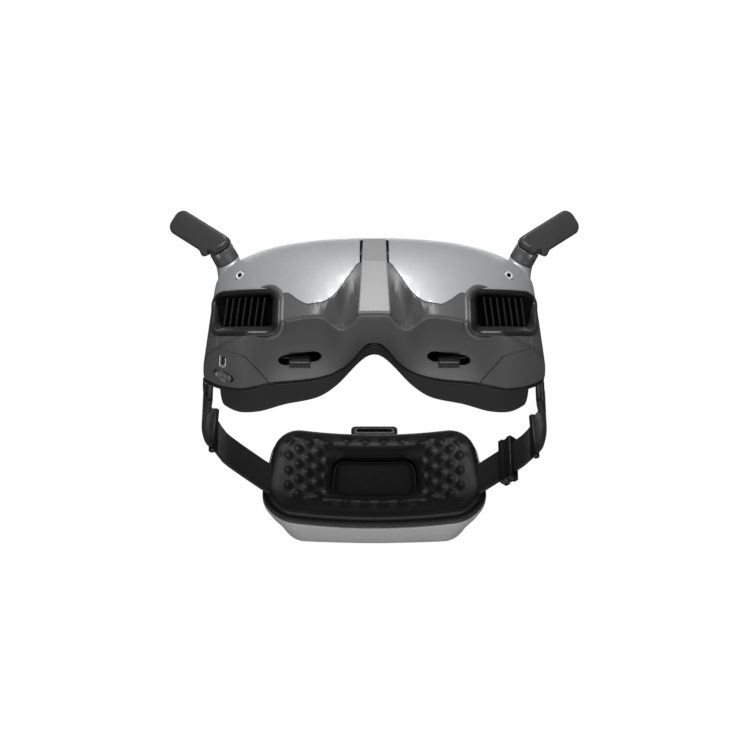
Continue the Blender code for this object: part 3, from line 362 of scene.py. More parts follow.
def moulded_plastic(name, color, rough, grain=0.012, metal=0.0, edge=0.4, radius=0.0004, flake=0.0,
                    spec=0.5):
    """Satin moulded plastic: fine spark-eroded grain, faint mottling, and sharp edges painted lighter as a
    painted edge highlight as well as wear.
    """
    mat, nodes, shader, place = start_material(name)
    cloud = nodes.noise(place, 38.0, 4.0)
    smear = nodes.noise(place, 210.0, 3.0)
    fine = nodes.noise(place, 2600.0, 2.0)
    rounded, edge_lightening = edge_highlight_and_wear(nodes, radius)
    base = nodes.blend(cloud, rgba(color, 0.94), rgba(color, 1.06))
    if flake:
        speck = nodes.add("ShaderNodeTexVoronoi", {"Vector": place, "Scale": 5200.0}).outputs["Color"]
        bright = nodes.add("ShaderNodeSeparateColor", {"Color": speck}).outputs[0]
        base = nodes.blend(nodes.span(bright, 0.0, flake), base, rgba(color, 1.7))
    # Sharp edges painted lighter: painted edge highlight as well as wear.
    edge_lighten_amount = nodes.add("ShaderNodeClamp", {"Value": nodes.maths("MULTIPLY", edge_lightening, edge)}).outputs[0]
    base = nodes.blend(edge_lighten_amount, base, rgba(color, 1.9))
    shine = nodes.span(smear, rough - 0.05, rough + 0.06)
    connect(nodes, shader, color=base, rough=shine, metal=metal, spec=spec,
            normal=nodes.relief(fine, 0.35, grain, rounded))
    return mat


def brushed_metal(name, color, rough):
    mat, nodes, shader, place = start_material(name)
    stretch = nodes.add("ShaderNodeMapping", {"Vector": place, "Scale": (400.0, 400.0, 9000.0)}).outputs[0]
    lines = nodes.noise(stretch, 1.0, 2.0)
    rounded, _ = edge_highlight_and_wear(nodes, 0.0002)
    base = nodes.blend(lines, rgba(color, 0.85), rgba(color, 1.1))
    shine = nodes.span(lines, rough - 0.06, rough + 0.08)
    connect(nodes, shader, color=base, rough=shine, metal=1.0,
            normal=nodes.relief(lines, 0.2, 0.004, rounded))
    return mat


def foam_cloth(name, color):
    """Fine suede-like cloth bonded over foam."""
    mat, nodes, shader, place = start_material(name)
    warp = nodes.wave(place, 520.0, 1.5, "X")
    weft = nodes.wave(place, 520.0, 1.5, "Z")
    depth = nodes.wave(place, 520.0, 1.5, "Y")
    weave = nodes.maths("ADD", nodes.maths("ADD", warp, weft), depth)
    fuzz = nodes.noise(place, 1500.0, 4.0, 0.7)
    cloud = nodes.noise(place, 30.0, 4.0)
    height = nodes.maths("ADD", nodes.maths("MULTIPLY", weave, 0.4), fuzz)
    base = nodes.blend(cloud, rgba(color, 0.8), rgba(color, 1.25))
    base = nodes.blend(nodes.span(fuzz, 0.0, 0.35), base, rgba(color, 1.8))
    connect(nodes, shader, color=base, rough=nodes.span(fuzz, 0.62, 0.8), sheen=0.12, sheen_rough=0.5,
            spec=0.35, normal=nodes.relief(height, 0.5, 0.05))
    return mat


def webbing_cloth(name, color):
    """Woven elastic: ribs across the strap and a tight chevron along it, mapped by UV in millimetres."""
    mat, nodes, shader, place = start_material(name)
    uv = nodes.add("ShaderNodeTexCoord").outputs["UV"]
    split = nodes.add("ShaderNodeSeparateXYZ", {"Vector": uv})
    ribs = nodes.maths("SINE", nodes.maths("MULTIPLY", split.outputs[0], 2 * math.pi / 0.9))
    threads = nodes.maths("SINE", nodes.maths("MULTIPLY", split.outputs[1], 2 * math.pi / 0.7))
    weave = nodes.maths("MULTIPLY", ribs, threads)
    fuzz = nodes.noise(place, 2200.0, 3.0, 0.7)
    cloud = nodes.noise(place, 60.0, 3.0)
    height = nodes.maths("ADD", nodes.maths("MULTIPLY", weave, 0.5), fuzz)
    base = nodes.blend(cloud, rgba(color, 0.85), rgba(color, 1.2))
    base = nodes.blend(nodes.span(weave, 0.0, 0.3), base, rgba(color, 1.7))
    connect(nodes, shader, color=base, rough=nodes.span(fuzz, 0.68, 0.86), sheen=0.2, sheen_rough=0.45,
            spec=0.3, normal=nodes.relief(height, 0.6, 0.08))
    return mat


def soft_rubber(name, color):
    """Moulded silicone-like rubber: velvety, with broad soft highlights."""
    mat, nodes, shader, place = start_material(name)
    cloud = nodes.noise(place, 45.0, 4.0)
    fine = nodes.noise(place, 1900.0, 3.0, 0.6)
    base = nodes.blend(cloud, rgba(color, 0.85), rgba(color, 1.2))
    connect(nodes, shader, color=base, rough=nodes.span(fine, 0.42, 0.54), spec=0.26,
            normal=nodes.relief(fine, 0.3, 0.02))
    return mat


def clear_glass(name):
    mat, nodes, shader, place = start_material(name)
    smear = nodes.noise(place, 120.0, 4.0)
    tint = nodes.blend(smear, (0.62, 0.66, 0.72, 1.0), (0.72, 0.76, 0.82, 1.0))
    connect(nodes, shader, color=tint, rough=nodes.span(smear, 0.02, 0.07), transmission=0.9, coat=0.3)
    return mat


def dark_glass(name):
    mat, nodes, shader, place = start_material(name)
    smear = nodes.noise(place, 160.0, 4.0)
    tint = nodes.blend(smear, (0.008, 0.009, 0.014, 1.0), (0.014, 0.015, 0.022, 1.0))
    connect(nodes, shader, color=tint, rough=nodes.span(smear, 0.06, 0.14), coat=0.5)
    return mat


def circuit_board(name):
    """Green solder mask with paler tracks and pads."""
    mat, nodes, shader, place = start_material(name)
    tracks = nodes.add("ShaderNodeTexBrick", {"Vector": place, "Scale": 120.0, "Mortar Size": 0.03,
                                              "Color1": (0.02, 0.10, 0.05, 1.0),
                                              "Color2": (0.03, 0.13, 0.06, 1.0),
                                              "Mortar": (0.08, 0.24, 0.12, 1.0)}).outputs[0]
    fine = nodes.noise(place, 900.0, 2.0)
    connect(nodes, shader, color=tracks, rough=nodes.span(fine, 0.35, 0.5),
            normal=nodes.relief(fine, 0.2, 0.02))
    return mat


def make_materials():
    """Every look, by name."""
    plastics = {
        "hood_grey": dict(color=(0.42, 0.43, 0.44), rough=0.46, metal=0.35, flake=0.3, edge=0.5),
        "shell_grey": dict(color=(0.095, 0.095, 0.098), rough=0.40, edge=0.25),
        "ridge_grey": dict(color=(0.30, 0.30, 0.305), rough=0.46, edge=0.25),
        "black_plastic": dict(color=(0.012, 0.012, 0.013), rough=0.42, grain=0.02, edge=0.2, spec=0.35),
        "vent_black": dict(color=(0.022, 0.022, 0.023), rough=0.38, edge=0.5, radius=0.0006),
        "knurl_black": dict(color=(0.03, 0.03, 0.031), rough=0.4, edge=0.6, radius=0.0002),
        # slot_dark: near-black for the sheets that paint the shade inside the vents, the eye-spacing slots,
        # the ridge slot, the charging socket and the screw sockets; also used for the pad's window panel.
        "slot_dark": dict(color=(0.004, 0.004, 0.004), rough=0.6, edge=0.0, spec=0.08),
        "antenna_grey": dict(color=(0.05, 0.05, 0.051), rough=0.42, edge=0.4, radius=0.0006),
        "neck_grey": dict(color=(0.16, 0.16, 0.163), rough=0.32, edge=0.4, metal=0.4),
        "pack_grey": dict(color=(0.46, 0.46, 0.465), rough=0.42, metal=0.2, flake=0.2, edge=0.3),
        "screw_pale": dict(color=(0.78, 0.78, 0.79), rough=0.35, metal=0.25),
        "cell_wrap": dict(color=(0.05, 0.12, 0.30), rough=0.3, edge=0.2),
    }
    made = {name: moulded_plastic(name, **look) for name, look in plastics.items()}
    made["foam"] = foam_cloth("foam", (0.006, 0.006, 0.0065))
    made["webbing"] = webbing_cloth("webbing", (0.012, 0.012, 0.013))
    made["pad_rubber"] = soft_rubber("pad_rubber", (0.007, 0.007, 0.0075))
    made["steel"] = brushed_metal("steel", (0.74, 0.74, 0.75), 0.26)
    made["aluminium"] = brushed_metal("aluminium", (0.60, 0.61, 0.62), 0.36)
    made["lens_glass"] = clear_glass("lens_glass")
    made["display_glass"] = dark_glass("display_glass")
    made["board_green"] = circuit_board("board_green")
    return made


MATERIALS = make_materials()


# ---------------------------------------------------------------- building blocks
def mesh_object(name, bm, angle=40.0):
    """A bmesh in millimetres from the eye point becomes a smooth-shaded object in metres."""
    bmesh.ops.translate(bm, vec=EYE_POINT, verts=bm.verts)
    bmesh.ops.scale(bm, vec=(MM, MM, MM), verts=bm.verts)
    bmesh.ops.remove_doubles(bm, verts=bm.verts, dist=1e-7)
    bmesh.ops.recalc_face_normals(bm, faces=bm.faces)
    closed = all(len(e.link_faces) == 2 for e in bm.edges)
    if closed and bm.calc_volume(signed=True) < 0:
        bmesh.ops.reverse_faces(bm, faces=bm.faces)
    mesh = bpy.data.meshes.new(name)
    bm.to_mesh(mesh)
    bm.free()
    mesh.shade_smooth()
    mesh.set_sharp_from_angle(angle=math.radians(angle))
    obj = bpy.data.objects.new(name, mesh)
    bpy.context.scene.collection.objects.link(obj)
    return obj


def dress(obj, mat, body, replaced=()):
    """Give a piece its material and its body, and hide the CAD nodes it stands for."""
    obj.data.materials.clear()
    obj.data.materials.append(MATERIALS[mat])
    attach(obj, body)
    if replaced:
        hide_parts(*replaced)
    return obj


def piece(name, bm, mat, body, replaced=(), angle=40.0):
    return dress(mesh_object(name, bm, angle), mat, body, replaced)


def boolean(obj, bm, operation="DIFFERENCE"):
    """Cut, join or keep with a closed cutter mesh."""
    bmesh.ops.triangulate(bm, faces=bm.faces)
    cutter = mesh_object("cutter", bm)
    mod = obj.modifiers.new(operation, "BOOLEAN")
    mod.operation = operation
    mod.object = cutter
    mod.solver = "EXACT"
    bake(obj)
    bpy.data.objects.remove(cutter)


def bake(obj, angle=40.0):
    """Replace the mesh by what its modifiers make of it."""
    graph = bpy.context.evaluated_depsgraph_get()
    mesh = bpy.data.meshes.new_from_object(obj.evaluated_get(graph))
    obj.modifiers.clear()
    obj.data = mesh
    mesh.shade_smooth()
    mesh.set_sharp_from_angle(angle=math.radians(angle))


def loops_mesh(loops, closed=False):
    """Skin loops of equal length; cap both ends, or join the last loop to the first."""
    bm = bmesh.new()
    rings = [[bm.verts.new(p) for p in loop] for loop in loops]
    pairs = list(zip(rings, rings[1:]))
    if closed:
        pairs.append((rings[-1], rings[0]))
    count = len(rings[0])
    for a, b in pairs:
        for i in range(count):
            j = (i + 1) % count
            bm.faces.new((a[i], a[j], b[j], b[i]))
    if not closed:
        bm.faces.new(rings[0])
        bm.faces.new(rings[-1])
    return bm


def join_meshes(*parts):
    """Several closed meshes in one bmesh."""
    out = bmesh.new()
    for part in parts:
        mesh = bpy.data.meshes.new("part")
        part.to_mesh(mesh)
        part.free()
        out.from_mesh(mesh)
        bpy.data.meshes.remove(mesh)
    return out


def rounded_rect(half_w, half_h, radius, steps=8):
    points = []
    corners = [(half_w - radius, half_h - radius, 0), (radius - half_w, half_h - radius, 90),
               (radius - half_w, radius - half_h, 180), (half_w - radius, radius - half_h, 270)]
    for cx, cy, start in corners:
        for k in range(steps + 1):
            angle = math.radians(start + 90 * k / steps)
            points.append((cx + radius * math.cos(angle), cy + radius * math.sin(angle)))
    return points


def panel_outline(half_w, half_h, radius, across=30, upright=10, steps=8):
    """Rounded rectangle with extra points along its straight edges, so that it can be bent."""
    corner = rounded_rect(half_w, half_h, radius, steps)
    points = []
    for k, (x, y) in enumerate(corner):
        points.append((x, y))
        if k % (steps + 1) != steps:
            continue
        parts = across if (k // (steps + 1)) % 2 == 0 else upright
        nx, ny = corner[(k + 1) % len(corner)]
        points += [(lerp(x, nx, t / parts), lerp(y, ny, t / parts)) for t in range(1, parts)]
    return points


def ellipse(half_a, half_b, count=40):
    return [(half_a * math.cos(2 * math.pi * i / count), half_b * math.sin(2 * math.pi * i / count))
            for i in range(count)]


def prism(outline, low, high, place=Matrix.Identity(4)):
    """Outline swept along the third axis of a frame, between two depths."""
    return loops_mesh([[place @ Vector((a, b, d)) for a, b in outline] for d in (low, high)])


def upright(outline, y):
    """Outline standing across the Y axis."""
    return [Vector((a, y, b)) for a, b in outline]


def turned(profile, place, sides=48):
    """Loops of a (radius, height) profile turned about Z."""
    return [[place @ Vector((a, b, height)) for a, b in ellipse(radius, radius, sides)]
            for radius, height in profile]


def rod(start, end, radius, sides=40, edge=0.0):
    """Rod with slightly rounded ends."""
    start, end = Vector(start), Vector(end)
    axis = end - start
    place = Matrix.Translation(start) @ along(axis)
    long = axis.length
    if not edge:
        profile = [(radius, 0.0), (radius, long)]
    else:
        profile = [(radius - edge, 0.0), (radius - 0.3 * edge, 0.3 * edge), (radius, edge),
                   (radius, long - edge), (radius - 0.3 * edge, long - 0.3 * edge), (radius - edge, long)]
    return loops_mesh(turned(profile, place, sides))


# ---------------------------------------------------------------- housing surface
def side_half_width(z):
    return SIDE_MEAN - SIDE_SLOPE * z


def top_height(u):
    rolled = (1 - abs(u) ** TOP_POWER_X) ** (1 / TOP_POWER_Z)
    return TOP_MIDDLE - TOP_DROP * (1 - rolled)


def plan_depth(u):
    return FRONT_DEPTH * (1 - abs(u) ** PLAN_POWER_X) ** (1 / PLAN_POWER_Y)


def corner_rise(x):
    t = clamp01((abs(x) - CORNER_START) / CORNER_RUN)
    return CORNER_RISE * (1 - (1 - t**CORNER_POWER) ** (1 / CORNER_POWER))


def valley(x, z):
    """Hollow between the nose ridge and the brow, below the hood's edge."""
    x = abs(x)
    edge = through(HOOD_EDGE, x)
    depth = smoothstep((edge - z) / (edge - BASE_Z)) * smoothstep((x - 6.5) / 3)
    return VALLEY_DEPTH * depth * math.exp(-(((x - VALLEY_X) / VALLEY_WIDTH) ** 2))


def front_point(u, z, inset=0.0):
    top = top_height(u) - inset
    s = clamp01((z - BASE_Z) / (top - BASE_Z))
    x = (side_half_width(z) - inset) * u
    depth = plan_depth(u) * (FRONT_DEPTH - inset) / FRONT_DEPTH
    y = -depth * (1 - s**CROWN_POWER) ** (1 / CROWN_POWER)
    reach = (0.0,) if inset < 0.1 else (-2.6, -1.3, 0.0, 1.3, 2.6)
    return Vector((x, y + max(valley(x + side, z) for side in reach), z))


def crease_height(u, inset=0.0):
    return BASE_Z + corner_rise(SIDE_MEAN * u) + inset


def rim_point(u, inset=0.0):
    a = SIDE_MEAN * abs(u)
    z = -30.5 + 14.1 / (1 + (a / 10) ** 3) - 2.3 * smoothstep((a - 46) / 18) + corner_rise(a) + inset
    y = -4 - 10 * math.exp(-((a / 18) ** 2)) + 9 * (a / SIDE_MEAN) ** 2
    return Vector(((side_half_width(z) - inset) * u, y, z))


def rim_top_y(u):
    return 1 + 5 * u * u


def belly(x):
    """Mid-height offset of the underside: proud at the nose, hollow under the brows."""
    x = abs(x)
    return (-4.5 + 8.0 * smoothstep(x / 28)) * (1 - smoothstep((x - 40) / 24))


def under_point(u, v, inset=0.0):
    start = front_point(u, crease_height(u, inset), inset)
    end = rim_point(u, inset)
    point = start.lerp(end, v)
    point.z += 4 * belly(point.x) * v * (1 - v)
    return point


def column(u, inset, front_steps, under_steps, rear):
    """One section of the housing from the lower rim, round the front, to the upper rim."""
    crease = crease_height(u, inset)
    low = crease + CREASE_RADIUS
    top = top_height(u) - inset
    corner = under_point(u, 0.0, inset)
    floor_v = CREASE_RADIUS / (rim_point(u, inset) - corner).length
    under = [under_point(u, 1 - (1 - floor_v) * k / under_steps, inset) for k in range(under_steps)]
    under[0].y += rear
    wall = front_point(u, low, inset)
    floor = under_point(u, floor_v, inset)
    bend = [floor * (1 - t) ** 2 + corner * 2 * t * (1 - t) + wall * t * t
            for t in (0, 0.2, 0.4, 0.6, 0.8, 1)]
    low_angle = math.asin(((low - BASE_Z) / (top - BASE_Z)) ** (CROWN_POWER / 2))
    front = []
    for k in range(1, front_steps + 1):
        angle = low_angle + (math.pi / 2 - low_angle) * k / front_steps
        z = BASE_Z + (top - BASE_Z) * math.sin(angle) ** (2 / CROWN_POWER)
        front.append(front_point(u, z, inset))
    end = front[-1].copy()
    end.y = rim_top_y(u) + rear
    return under + bend + front + [end]


def lateral_stations(count):
    return [math.sin(math.pi * (i / count - 0.5)) for i in range(count + 1)]


def housing_mesh(inset=0.0, rear=0.0):
    count, front_steps, under_steps = (110, 26, 11)
    if inset > 1.0:
        count, front_steps, under_steps = (50, 12, 6)
    return loops_mesh([column(u, inset, front_steps, under_steps, rear) for u in lateral_stations(count)])


def housing_solid(name):
    bm = housing_mesh()
    bmesh.ops.triangulate(bm, faces=bm.faces)
    return mesh_object(name, bm)


def edge_prism(above):
    """Everything above or below the hood's edge, as seen from the front."""
    xs = [-90 + i for i in range(181)]
    offset = 0.2 if above else -0.2
    limit = 60.0 if above else -60.0
    outline = [(x, through(HOOD_EDGE, abs(x)) + offset) for x in xs] + [(90.0, limit), (-90.0, limit)]
    return loops_mesh([upright(outline, y) for y in (-80, 30)])


# ---------------------------------------------------------------- vents
def vent_place(sign, depth):
    """Map a vent outline into space at a depth along the vent's tilted duct."""
    def place(a, b):
        return Vector((sign * (VENT_X + a), 0, 0)) + VENT_UPWARD * (VENT_UP + b) + VENT_INWARD * depth
    return place


def vent_outline(grow):
    return rounded_rect(VENT_HALF_WIDE + grow, VENT_HALF_HIGH + grow, VENT_RADIUS + grow)


def vent_fine_outline(grow):
    """Vent outline with points along its straight edges, so that it can follow the skin."""
    return panel_outline(VENT_HALF_WIDE + grow, VENT_HALF_HIGH + grow, VENT_RADIUS + grow, 16, 8, 10)


def vent_prism(sign, grow, start, end):
    return loops_mesh([[vent_place(sign, d)(a, b) for a, b in vent_outline(grow)] for d in (start, end)])


def skin_depth(sign, a, b):
    """Depth along the duct at which a line through the outline point (a, b) meets the front skin."""
    low, high = -75.0, -5.0
    place_low, place_high = vent_place(sign, low)(a, b), vent_place(sign, high)(a, b)
    for _ in range(30):
        middle = place_low.lerp(place_high, 0.5)
        u = max(-0.999, min(0.999, middle.x / side_half_width(middle.z)))
        surface = front_point(u, max(middle.z, crease_height(u) + 0.1))
        if middle.y < surface.y:
            place_low = middle
        else:
            place_high = middle
    depth = (place_low - vent_place(sign, 0)(a, b)).dot(VENT_INWARD)
    return depth + max(0.0, BASE_Z + 0.3 - place_low.z) / math.sin(VENT_TILT)


def vent_frame(side, sign):
    """Duct liner whose rolled lip follows the front skin."""
    rings = []
    profile = [(0.5, 3.0), (0.9, 0.3), (0.9, -0.5), (0.5, -1.1), (-0.2, -1.3), (-0.9, -1.1), (-1.5, -0.5),
               (-2.0, 0.5), (-2.5, 2.0), (-3.2, 4.6), (-3.7, 7.0), (-3.8, 9.5), (-1.0, 9.5), (-0.6, 5.0)]
    for grow, drop in profile:
        loop = []
        for (a, b), (a0, b0) in zip(vent_fine_outline(grow), vent_fine_outline(-0.3)):
            depth = skin_depth(sign, a0, b0) + drop
            loop.append(vent_place(sign, depth)(a, b))
        rings.append(loop)
    piece(side + "_vent_duct", loops_mesh(rings, closed=True), "vent_black", "housing",
          [side + "_vent_frame"], angle=60)


def vent_slats(side, sign):
    """Upright slats with rounded front edges, each leaning a little, in front of a near-black plate that
    paints the shade inside the duct.
    """
    parts = []
    half = VENT_HALF_HIGH - 3.3
    for i in range(SLATS):
        a = (i - (SLATS - 1) / 2) * SLAT_PITCH + 0.6
        front = skin_depth(sign, a, 0.0) + 5.0
        outline = [(-0.5, 5.0), (-0.5, 0.5), (-0.3, 0.1), (0.0, 0.0), (0.3, 0.1), (0.5, 0.5), (0.5, 5.0)]
        loops = []
        for k in range(9):
            b = lerp(-half, half, k / 8)
            lean = -0.14 * b
            bow = 0.3 * (b / half) ** 2 - 0.9 * smoothstep((b / half - 0.55) / 0.4)
            loops.append([vent_place(sign, front + d + bow)(a + o + lean, b) for o, d in outline])
        parts.append(loops_mesh(loops))
    # Near-black back plate: painted shade inside the vent.
    back = [[vent_place(sign, skin_depth(sign, a, 0.0) + d)(a, b) for a, b in vent_outline(-2.2)]
            for d in (9.6, 10.6)]
    piece(side + "_vent_slats", join_meshes(*parts), "vent_black", "housing", [side + "_vent_grille"])
    piece(side + "_vent_shadow_plate", loops_mesh(back), "slot_dark", "housing")


def vent_collar(side, sign):
    """Raised rounded lip of the shell, fat round the inner end of the opening and buried elsewhere."""
    rings = []
    for k in range(14):
        turn = 2 * math.pi * k / 14
        loop = []
        for i, (a, b) in enumerate(vent_fine_outline(1.4)):
            radius = 0.3 + 1.5 * smoothstep((-4.0 - a) / 10.0)
            x, z = vent_fine_outline(1.4 + radius * math.cos(turn))[i]
            depth = skin_depth(sign, a, b) + 1.0 + radius * math.sin(turn)
            loop.append(vent_place(sign, depth)(x, z))
        rings.append(loop)
    piece(side + "_vent_collar", loops_mesh(rings, closed=True), "shell_grey", "housing", angle=80)


# ---------------------------------------------------------------- housing shells
def ridge_slot():
    """Slot the ridge's upper part sinks into."""
    outline = [(a, b + SLOT_TOP - 30) for a, b in rounded_rect(SLOT_HALF, 30, 1.6, 6)]
    return loops_mesh([upright(outline, y) for y in (-80, -38)])


def corner_prism(sign, grow):
    """Plan outline of the corner cover, swept through the full height."""
    outline = [(100, -70), (79.4, -70), (79.4, -30), (73.2, -29.5), (67.5, -28.9), (63.8, -27.6),
               (61.6, -25.2), (60.4, -22.0), (50.8, 2), (50.8, 30), (100, 30)]
    return prism([(sign * (x - grow), y - grow) for x, y in outline], -50, 12)


def seated(point, out, long_axis):
    """Frame at a point: first axis along the long axis, third axis out of the surface."""
    out = out.normalized()
    long_axis = (long_axis - out * long_axis.dot(out)).normalized()
    turn = Matrix((long_axis, out.cross(long_axis), out)).transposed().to_4x4()
    return Matrix.Translation(point) @ turn


def screw_frame(sign):
    return flip(sign, front_point(SCREW_SHARE, SCREW_Z)), flip(sign, SCREW_OUT)


def neck_seat(sign):
    return flip(sign, ANTENNA_PIVOT - ANTENNA_AXIS * NECK_LONG)


def boss_mesh(sign):
    """Boss that flares smoothly out of the hood's upper corner and carries the antenna neck."""
    seat = neck_seat(1)
    inner = BOSS_ROOT + Vector((-1.5, 2.0, -4.0))
    loops = []
    for k in range(9):
        t = k / 8
        centre = inner.lerp(seat, t)
        axis = Vector((0.1, -0.1, 1.0)).lerp(ANTENNA_AXIS, smoothstep(t)).normalized()
        radius = NECK_R + 7.5 * (1 - t) ** 2.4
        centre.x -= (radius - NECK_R) * 0.55
        turn = along(flip(sign, axis))
        loops.append([flip(sign, centre) + turn @ Vector((a, b, 0)) for a, b in ellipse(radius, radius, 36)])
    return loops_mesh(loops)


def hood():
    """Outer shell above the hood's edge, with its bosses, vents, screw holes and ridge slot."""
    part = housing_solid("hood_skin")
    boolean(part, edge_prism(above=True), "INTERSECT")
    cutters = [ridge_slot()]
    for _, sign in SIDES:
        point, out = screw_frame(sign)
        cutters.append(vent_prism(sign, 0.1, -80, -8))
        cutters.append(rod(point - out * 8, point + out * 8, 2.7))
    boolean(part, join_meshes(*cutters))
    boolean(part, join_meshes(boss_mesh(-1), boss_mesh(1)), "UNION")
    boolean(part, housing_mesh(inset=WALL, rear=6.0))
    dress(part, "hood_grey", "housing", ["hood"])


def track_points(sign, grow):
    """Plan outline of the slanted slot the eye-spacing knob runs in."""
    turn = Matrix.Rotation(sign * TRACK_SLANT, 2)
    centre = Vector((sign * KNOB_X, KNOB_Y))
    outline = rounded_rect(TRACK_HALF_LONG + grow, TRACK_HALF_WIDE + grow, TRACK_HALF_WIDE + grow - 0.05, 12)
    return [centre + turn @ Vector(p) for p in outline]


def knob_slot(sign):
    return prism(track_points(sign, 0.0), -42, -22)


def lower_blank(name):
    """Housing below the hood's edge, with the vents cut."""
    part = housing_solid(name)
    boolean(part, edge_prism(above=False), "INTERSECT")
    boolean(part, join_meshes(vent_prism(-1, 0.1, -80, -8), vent_prism(1, 0.1, -80, -8)))
    return part


def lower_shell():
    part = lower_blank("lower_shell_skin")
    boolean(part, join_meshes(knob_slot(-1), knob_slot(1), corner_prism(-1, 0.3), corner_prism(1, 0.3)))
    boolean(part, housing_mesh(inset=WALL, rear=6.0))
    dress(part, "shell_grey", "housing", ["lower_shell"])


def usb_outline(grow):
    return rounded_rect(USB_HALF_LONG + grow, USB_HALF_WIDE + grow, USB_HALF_WIDE + grow - 0.1)


def usb_place():
    return seated(USB_POINT, USB_OUT, USB_LONG)


def usb_prism(grow, low, high):
    return prism(usb_outline(grow), low, high, usb_place())


def stick_place():
    return seated(STICK_CENTRE, STICK_OUT, STICK_LONG)


def corner_cover(side, sign):
    part = lower_blank(side + "_corner_skin")
    boolean(part, corner_prism(sign, 0.0), "INTERSECT")
    if side == "right":
        hole = prism(ellipse(STICK_HALF_LONG + 0.7, STICK_HALF_WIDE + 0.7), -8, 8, stick_place())
        boolean(part, join_meshes(usb_prism(0.3, -9, 9), hole))
    boolean(part, housing_mesh(inset=WALL, rear=6.0))
    dress(part, "shell_grey", "housing", [side + "_corner_cover"])


def ridge_loops():
    """Sections of the nose ridge: flat face, small rounded edges, straight flanks."""
    loops = []
    last = len(RIDGE_PATH) - 1
    edge = RIDGE_EDGE
    for i, (y, z, half) in enumerate(RIDGE_PATH):
        before = Vector(RIDGE_PATH[max(i - 1, 0)][:2])
        after = Vector(RIDGE_PATH[min(i + 1, last)][:2])
        run = (after - before).normalized()
        inward = Vector((-run.y, run.x))
        section = [(-half - 0.6, RIDGE_THICK), (-half, edge), (-half + edge * 0.3, edge * 0.3),
                   (-half + edge, 0.0), (half - edge, 0.0), (half - edge * 0.3, edge * 0.3), (half, edge),
                   (half + 0.6, RIDGE_THICK)]
        middle = Vector((y, z)) - inward * (RIDGE_LIFT if i < last else -RIDGE_END_SINK)
        loops.append([Vector((x, *(middle + inward * d))) for x, d in section])
    return loops


def nose_ridge():
    """Ridge bar with softened folds, and a near-black plate behind its upper part that paints the shade in
    its slot.
    """
    obj = mesh_object("nose_ridge_bar", loops_mesh(ridge_loops()), angle=50)
    bevel = obj.modifiers.new("Folds", "BEVEL")
    bevel.width = 0.0009
    bevel.segments = 3
    bevel.limit_method = "ANGLE"
    bevel.angle_limit = math.radians(8)
    bake(obj, 30)
    dress(obj, "ridge_grey", "housing", ["nose_ridge"])
    # Near-black plate behind the ridge: painted shade in the slot round it.
    lean = Matrix.Translation((0, -46.2, 8.0)) @ Matrix.Rotation(math.radians(24), 4, "X")
    plate = loops_mesh([[lean @ p for p in upright(rounded_rect(7.4, 10.5, 1.0), y)] for y in (0, 1.2)])
    piece("ridge_channel", plate, "slot_dark", "housing")


def hood_screw(side, sign):
    """Bright socket-head screw in its counterbore."""
    point, out = screw_frame(sign)
    place = Matrix.Translation(point) @ along(out)
    profile = [(2.3, -5.0), (2.3, 0.0), (2.2, 0.3), (1.95, 0.42), (1.3, 0.42), (1.2, 0.3), (1.15, -1.2)]
    piece(side + "_screw_head", loops_mesh(turned(profile, place, 48)), "screw_pale", "housing",
          [side + "_hood_screw"])
    # Near-black hexagon just under the top of the head: painted shade of the hex socket.
    socket = loops_mesh(turned([(1.05, 0.3), (1.05, 0.36)], place, 6))
    piece(side + "_screw_socket", socket, "slot_dark", "housing")


# ---------------------------------------------------------------- rim, frame and face pad
def rim_loop(inset, lift):
    """Loop round the housing's open back, drawn in by an inset and moved back by a lift."""
    lower = [rim_point(u) for u in lateral_stations(RIM_STEPS)]
    upper = []
    for u in lateral_stations(RIM_STEPS):
        upper.append(Vector((side_half_width(top_height(u)) * u, rim_top_y(u), top_height(u))))
    side = []
    low, high = lower[-1], upper[-1]
    for k in range(1, RIM_SIDE_STEPS):
        t = k / RIM_SIDE_STEPS
        z = lerp(low.z, high.z, t)
        side.append(Vector((side_half_width(z), lerp(low.y, high.y, t), z)))
    other = [Vector((-p.x, p.y, p.z)) for p in reversed(side)]
    loop = lower + side + upper[::-1] + other
    wide = 1 - inset / SIDE_MEAN
    tall = 1 - inset / RIM_HALF_HIGH
    return [Vector((p.x * wide, p.y + lift, RIM_MID_Z + (p.z - RIM_MID_Z) * tall)) for p in loop]


def mid_frame():
    """Two thin flanges with a groove between them, as the housing meets the cushion."""
    profile = [(0.5, 0.5), (0.1, 0.75), (0.1, 1.75), (0.4, 1.95), (1.3, 2.0), (1.3, 2.3), (0.4, 2.35),
               (0.1, 2.6), (0.1, 3.6), (0.5, 3.9), (9.0, 3.9), (9.5, 3.6), (9.5, 1.2), (9.0, 0.9)]
    rings = [rim_loop(inset, lift) for inset, lift in profile]
    piece("cushion_frame", loops_mesh(rings, closed=True), "black_plastic", "housing", ["mid_frame"],
          angle=60)


def pad_reach(p):
    """How far back the face pad's edge stands at a point of the rim."""
    a = abs(p.x)
    lower = through([(0, 2), (10, 5), (18, 15), (29, 26), (46, 31.5), (60, 36), (72, 40), (84, 40)], a)
    upper = through([(0, 13), (20, 15), (45, 24), (65, 33), (80, 34)], a)
    return lower + (upper - lower) * smoothstep((p.z + 10) / 30)


def pad_loops(start):
    """Cushion section from the frame, round its crowned edge, to its inner wall."""
    base = rim_loop(PAD_START, start)
    profile = [(6.5, 0.0), (6.5, 0.25), (6.55, 0.45), (6.65, 0.62), (6.9, 0.76), (7.4, 0.88), (8.2, 0.96),
               (9.4, 1.0), (10.8, 1.0), (12.2, 0.97), (13.2, 0.9), (13.8, 0.8), (14.1, 0.65), (13.9, 0.4),
               (13.5, 0.2), (13.0, 0.0)]
    loops = []
    for inset, share in profile:
        loop = rim_loop(inset, start)
        for p, edge in zip(loop, base):
            p.y = edge.y + max(2.0, pad_reach(edge) - edge.y) * share
        loops.append(loop)
    return loops


